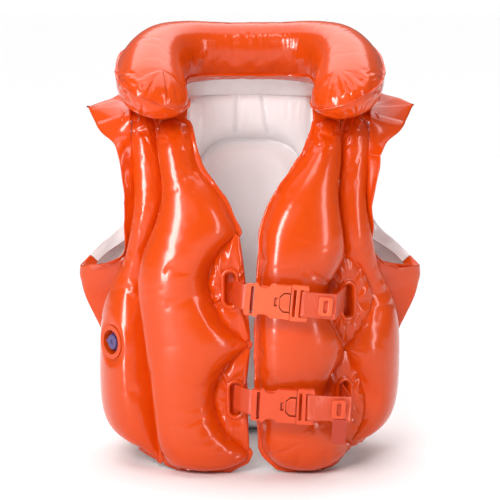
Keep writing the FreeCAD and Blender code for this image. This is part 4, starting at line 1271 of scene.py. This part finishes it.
# ---- collar -----------------------------------------------------------------------------------------
@dataclass
class Collar:
    """The pillow collar: a long pillow bent into a horseshoe, standing up behind the neck and rolling over
    until it lies nearly flat at its two ends. Its weld runs along the back, round both ends and along the
    neck."""

    finishes: Finishes
    half_path: Rows = ((0, 62, 406, 29), (36, 61, 406, 29), (66, 51, 405, 31), (88, 28, 400, 33),
                       (97, -4, 390.5, 34), (97, -34, 381, 34.5), (93.5, -60, 373, 34.5),
                       (88, -82, 366.5, 34), (82, -102, 360, 33))

    def __post_init__(self) -> None:
        """Tabulates the centre line, its half width and its frame against the distance from the left end."""
        half = np.array(self.half_path, float)
        left = half[::-1].copy()
        left[:, 0] *= -1
        full = smooth_curve(np.vstack([left[:-1], half]), 900)
        self.line, self.wide = full[:, :3], full[:, 3]
        self.run = np.concatenate([[0], np.cumsum(np.linalg.norm(np.diff(self.line, axis=0), axis=1))])
        way = np.gradient(self.line, axis=0)
        way /= np.linalg.norm(way, axis=1, keepdims=True)
        up = np.array([0, 0, 1.0]) - way * way[:, 2:3]
        up /= np.linalg.norm(up, axis=1, keepdims=True)
        flat = np.cross(up, way)
        from_end = np.minimum(self.run, self.run[-1] - self.run)
        roll = np.radians(16 + 34 * smoothstep(70, 210, from_end))[:, None]
        self.side = flat * np.cos(roll) + up * np.sin(roll)
        self.up = up * np.cos(roll) - flat * np.sin(roll)

    def pick(self, table: Array, run: Array) -> Array:
        """Returns a tabulated value or vector at each distance along the collar."""
        if table.ndim == 1:
            return np.interp(run, self.run, table)
        return np.stack([np.interp(run, self.run, table[:, k]) for k in range(3)], -1)

    def place(self, across: Array, run: Array, out: Array) -> Array:
        """Returns places on the bent pillow.

        Args:
            across: Distance from the centre line, outwards from the neck being positive.
            run: Distance along it from the left end.
            out: Height over the weld's surface.

        Returns:
            (..., 3) places.
        """
        across, run, out = np.broadcast_arrays(across, run, out)
        line, side, up = (self.pick(t, run) for t in (self.line, self.side, self.up))
        return line + side * across[..., None] + up * out[..., None]

    def upper(self, out: Array, across: Array, run: Array, inward: Array) -> Array:
        """Returns the upper film's height: thinner towards both ends, with fine upright creases at the top of
        the back, where the collar is bent."""
        from_end = np.minimum(run, self.run[-1] - run)
        fade = np.exp(-((run - self.run[-1] / 2) / 44) ** 2) * np.exp(-((across - 2) / 20) ** 2)
        crease = np.abs(soft_noise(np.stack([run + 0.15 * across, 0.06 * across], -1), 11, 77))
        return out * (0.52 + 0.48 * smoothstep(-20, 150, from_end)) - 0.7 * crease * fade

    def lower(self, out: Array, across: Array, run: Array, inward: Array) -> Array:
        """Returns the lower film's height, thinner where the ends lie on the chambers."""
        from_end = np.minimum(run, self.run[-1] - run)
        return out * (0.58 + 0.42 * smoothstep(0, 140, from_end))

    def build(self) -> None:
        """Makes the collar, with the well for its valve, and its welded lip."""
        length = float(self.run[-1])
        ends = [(0, 34), (0.05, 20), (0.14, 10), (0.28, 3.5), (0.5, 0), (0.72, 3.5), (0.86, 10), (0.95, 20),
                (1, 34)]
        pillow = Chamber("collar_chamber", lambda r: -self.pick(self.wide, r),
                         lambda r: self.pick(self.wide, r), ends, [(u, length - r) for u, r in ends],
                         self.place, front_fill=1.0, back_fill=0.96, front_cap=60.0, back_cap=60.0,
                         puckers=Puckers(201, 8.5, 4.6, 15.0, 2.2, 0.06), shape=(96, 460),
                         front_shape=self.upper, back_shape=self.lower, lined=False)
        seat = ValveSeat(np.array([46.0, 90.0, 406.0]), np.array([0.0, 1.0, 0.0]))
        piece = pillow.build(self.finishes.orange, seat.press)
        attach(piece, "collar", "orange_vinyl", "collar_chamber")
        attach(pillow.weld(self.finishes.orange, 2.2, 9), "collar", "orange_vinyl")


# ---- buckles, straps and valves -------------------------------------------------------------------
@dataclass
class Hardware:
    """Buckles and valves: the CAD's own shapes with their edges eased, and the straps between them."""

    finishes: Finishes
    strap_half_width: float = 12.0

    def eased(self, node: str, material: bpy.types.Material, body: str, slot: str,
              radius: float = 0.45, slack: float = 0.0) -> bpy.types.Object:
        """Makes a copy of a CAD node whose sharp edges are rounded.

        Args:
            node: The node copied and replaced.
            material: Its finish.
            body: The body that it rides on.
            slot: A material slot's name, handed on to attach.
            radius: Edge radius in millimetres.
            slack: How much narrower and lower the copy is, as a share, which opens the groove round it.

        Returns:
            The piece.
        """
        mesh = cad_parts[node].data.copy()
        mesh.name = node + "_eased"
        work = bmesh.new()
        work.from_mesh(mesh)
        bmesh.ops.remove_doubles(work, verts=work.verts, dist=DOUBLED)
        bmesh.ops.dissolve_limit(work, angle_limit=math.radians(1.0), verts=work.verts, edges=work.edges)
        bmesh.ops.recalc_face_normals(work, faces=work.faces)
        if slack:
            corners = np.array([v.co for v in work.verts])
            middle = 0.5 * (corners.min(0) + corners.max(0))
            bmesh.ops.scale(work, vec=(1 - slack, 1, 1 - slack), verts=work.verts,
                            space=Matrix.Translation(-Vector(middle)))
        work.to_mesh(mesh)
        work.free()
        mesh.materials.clear()
        mesh.materials.append(material)
        piece = bpy.data.objects.new(node + "_eased", mesh)
        bpy.context.scene.collection.objects.link(piece)
        bevel = piece.modifiers.new("edge", "BEVEL")
        bevel.width, bevel.segments, bevel.limit_method = radius * MM, 2, "ANGLE"
        bevel.angle_limit, bevel.harden_normals = math.radians(38), False
        for polygon in mesh.polygons:
            polygon.use_smooth = False
        return attach(piece, body, slot, node)

    def buckle(self, key: str, material: bpy.types.Material, slot: str) -> None:
        """Makes one buckle's five mouldings and its keeper."""
        self.eased(key + "_buckle_socket", material, "vest", slot, 0.7)
        self.eased(key + "_clip_frame", material, key + "_clip", slot, 0.5)
        self.eased(key + "_release_button", material, key + "_release_button", slot, 0.35, 0.08)
        self.eased(key + "_latch_arm_top", material, key + "_latch_arm_top", slot, 0.4)
        self.eased(key + "_latch_arm_bottom", material, key + "_latch_arm_bottom", slot, 0.4)
        self.eased(key + "_strap_keeper", material, key + "_clip", slot, 0.6)

    def strap(self, name: str, place: Placement, route: Rows, node: str, seed: int,
              clip: str = "") -> bpy.types.Object:
        """Makes a strap along a route seen edge on.

        Args:
            name: The piece's name.
            place: The buckle's frame.
            route: (u, w) points in that frame.
            node: The node it replaces.
            seed: Fixes its slight waviness.
            clip: The body at its clip end; a strap that has one is left in place on no body, and one without
                rides on the vest.

        Returns:
            The piece.
        """
        line = smooth_curve(np.array(route, float), 120)
        across = np.linspace(-self.strap_half_width, self.strap_half_width, 22)
        local = np.empty((len(line), len(across), 3))
        local[..., 0], local[..., 2] = line[:, :1], line[:, 1:]
        local[..., 1] = across[None, :]
        run = np.concatenate([[0], np.cumsum(np.linalg.norm(np.diff(line, axis=0), axis=1))])
        flat = np.stack(np.broadcast_arrays(run[:, None], across[None, :]), -1)
        ends = np.minimum(1, np.minimum(run, run[-1] - run) / 10)[:, None]
        local[..., 2] += 0.6 * soft_noise(flat, 26, seed) * ends
        uv = flat * MM
        piece = thicken(make_grid(name, place.carry(local), self.finishes.webbing, uv=uv), STRAP_WALL)
        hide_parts(node)
        if clip:
            low = np.array([line[-1, 0], 0, line[-1, 1]])
            start = place.carry(low[None])[0] * MM
            end = place.carry(np.array([[line[40, 0], 0, line[40, 1]]]))[0] * MM
            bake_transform(piece)
        else:
            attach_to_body(piece, "vest")
        return piece

    def valves(self) -> None:
        """Makes both valves from their mouldings."""
        for prefix, body in (("", "vest"), ("collar_", "collar")):
            self.eased(prefix + "valve_boot", self.finishes.orange, body, "orange_vinyl", 0.4)
            stem, plug = prefix + "valve_stem", prefix + "valve_plug"
            self.eased(stem, self.finishes.purple, stem, "purple_vinyl", 0.3)
            self.eased(prefix + "valve_flap", self.finishes.purple, stem, "purple_vinyl", 0.1)
            self.eased(plug, self.finishes.purple, plug, "purple_vinyl", 0.4)

    def build(self) -> None:
        """Makes both buckles, the straps and both valves."""
        webs = SlotWebs(self.finishes)
        bar_end, slots = 52.0, {"upper": (95.0, 168.0), "lower": (92.0, 72.0)}
        frames = {"upper": (-5.0, 180.0, 5.0, 76.0), "lower": (1.0, 78.0, 2.5, 83.0)}
        ends = {"upper": (-10.5, -24.0), "lower": (-16.0, -25.5)}
        finish = {"upper": (self.finishes.salmon, "salmon_plastic"),
                  "lower": (self.finishes.clip_orange, "orange_plastic")}
        for number, (key, (x, z, dip, keeper)) in enumerate(frames.items()):
            a = math.radians(-dip)
            place = Placement(np.array([x, -121.0, z]), np.array([math.cos(a), 0, math.sin(a)]),
                              np.array([-math.sin(a), 0, math.cos(a)]), np.array([0.0, -1, 0]))
            self.buckle(key, *finish[key])
            web = webs.placement(*slots[key], 24.0)
            goal = web.carry(np.array([[-3.6, 0, 2.0]]))[0] - place.origin
            goal = (float(goal @ place.u), float(goal @ place.w))
            start = bar_end + 1.5
            self.strap(key + "_strap", place, [
                (start, 2.0), (start + 0.6, 8.6), (start + 6, 9.4), (keeper + 8, 8.6), (keeper + 11, 4.0),
                goal], key + "_strap", 150 + number, key + "_clip")
            self.strap(key + "_socket_strap", place, [
                (6.7, 4.5), (6.7, -0.8), (2.5, -2.8), (-3, -5.5), ends[key]], key + "_socket_strap",
                160 + number)
        self.eased("lower_strap_tail", self.finishes.webbing, "lower_clip", "orange_webbing", 0.3)
        self.valves()


# ---- studio -----------------------------------------------------------------------------------------
@dataclass
class Studio:
    """A plain pale floor, soft lights and the camera."""

    elevation: float = 8.0
    distance: float = 1.8
    target: tuple[float, float, float] = (0.0, -0.020, 0.2115)
    lens: float = 129.6
    floor_half_side: float = 45.0
    sky_light: float = 0.2
    overhead_strength: float = 2.95
    overhead_spread: float = 75.0
    overhead_tilt: float = -20.0

    def lamp(self, name: str, place: Sequence[float], aim: Sequence[float], size: Sequence[float],
             power: float, diffuse: bool = True, glossy: bool = True) -> None:
        """Adds a rectangular soft light.

        Args:
            name: Its name.
            place: Where it stands, in metres.
            aim: The point that it faces.
            size: Width and height in metres.
            power: Watts.
            diffuse: Whether it lights surfaces.
            glossy: Whether it shows as a highlight.
        """
        data = bpy.data.lights.new(name, "AREA")
        data.shape, data.size, data.size_y = "RECTANGLE", size[0], size[1]
        data.energy = power
        lamp = bpy.data.objects.new(name, data)
        lamp.location = place
        lamp.visible_diffuse, lamp.visible_glossy = diffuse, glossy
        lamp.rotation_euler = (Vector(aim) - Vector(place)).to_track_quat("-Z", "Y").to_euler()
        bpy.context.scene.collection.objects.link(lamp)

    def sky(self) -> None:
        """Makes a white surround that is seen at full strength and lights the vest with less."""
        world = bpy.data.worlds.new("studio")
        world.use_nodes = True
        tree = world.node_tree
        background = tree.nodes["Background"]
        background.inputs["Color"].default_value = (1, 1, 1, 1)
        seen = tree.nodes.new("ShaderNodeLightPath")
        level = tree.nodes.new("ShaderNodeMapRange")
        level.inputs["To Min"].default_value, level.inputs["To Max"].default_value = self.sky_light, 1.0
        tree.links.new(seen.outputs["Is Camera Ray"], level.inputs["Value"])
        tree.links.new(level.outputs["Result"], background.inputs["Strength"])
        bpy.context.scene.world = world

    def build(self) -> None:
        """Adds the floor, the lights, the world and the camera."""
        side = self.floor_half_side / MM
        shader = Shader("studio_floor")
        cloud = shader.noise(shader.place(), 3.0)
        dull, pale = (0.92, 0.92, 0.925, 1), (0.94, 0.94, 0.94, 1)
        shader.set(Base_Color=shader.mix(cloud, dull, pale), Roughness=0.85)
        corners = np.array([(-side, -side, 0), (side, -side, 0), (side, side, 0), (-side, side, 0)])
        make_piece("studio_floor", corners, np.array([[0, 1, 2, 3]]), shader.material)
        self.sky()
        sun = bpy.data.lights.new("overhead_diffuser", "SUN")
        sun.energy, sun.angle = self.overhead_strength, math.radians(self.overhead_spread)
        overhead = bpy.data.objects.new("overhead_diffuser", sun)
        overhead.rotation_euler = (math.radians(self.overhead_tilt), 0, 0)
        bpy.context.scene.collection.objects.link(overhead)
        self.lamp("left_softbox", (-1.25, -1.3, 0.8), (0, 0, 0.22), (0.42, 1.7), 75, diffuse=False)
        self.lamp("right_softbox", (1.35, -1.1, 0.8), (0, 0, 0.22), (0.3, 1.5), 16, diffuse=False)
        self.lamp("collar_softbox", (-0.25, -0.9, 2.2), (0, 0, 0.4), (0.8, 0.3), 7, diffuse=False)
        self.lamp("front_fill", (-0.65, -1.75, 1.35), (0, 0, 0.25), (1.2, 0.7), 32, glossy=False)
        bpy.context.scene.view_settings.view_transform = "Standard"
        camera = bpy.data.objects.new("camera", bpy.data.cameras.new("camera"))
        a = math.radians(self.elevation)
        x, y, z = self.target
        camera.location = (x, y - self.distance * math.cos(a), z + self.distance * math.sin(a))
        camera.rotation_euler = (math.pi / 2 - a, 0, 0)
        camera.data.sensor_width, camera.data.lens = 36.0, self.lens
        bpy.context.scene.collection.objects.link(camera)
        bpy.context.scene.camera = camera


def main() -> None:
    """Builds the vest and the studio."""
    logging.basicConfig(level=logging.INFO, format="%(name)s: %(message)s")
    Studio().build()
    finishes = Finishes()
    for part in (BodyPanels(finishes), LooseFilms(finishes), SlotWebs(finishes), Collar(finishes),
                 Hardware(finishes)):
        part.build()


if __name__ == "__main__":
    main()
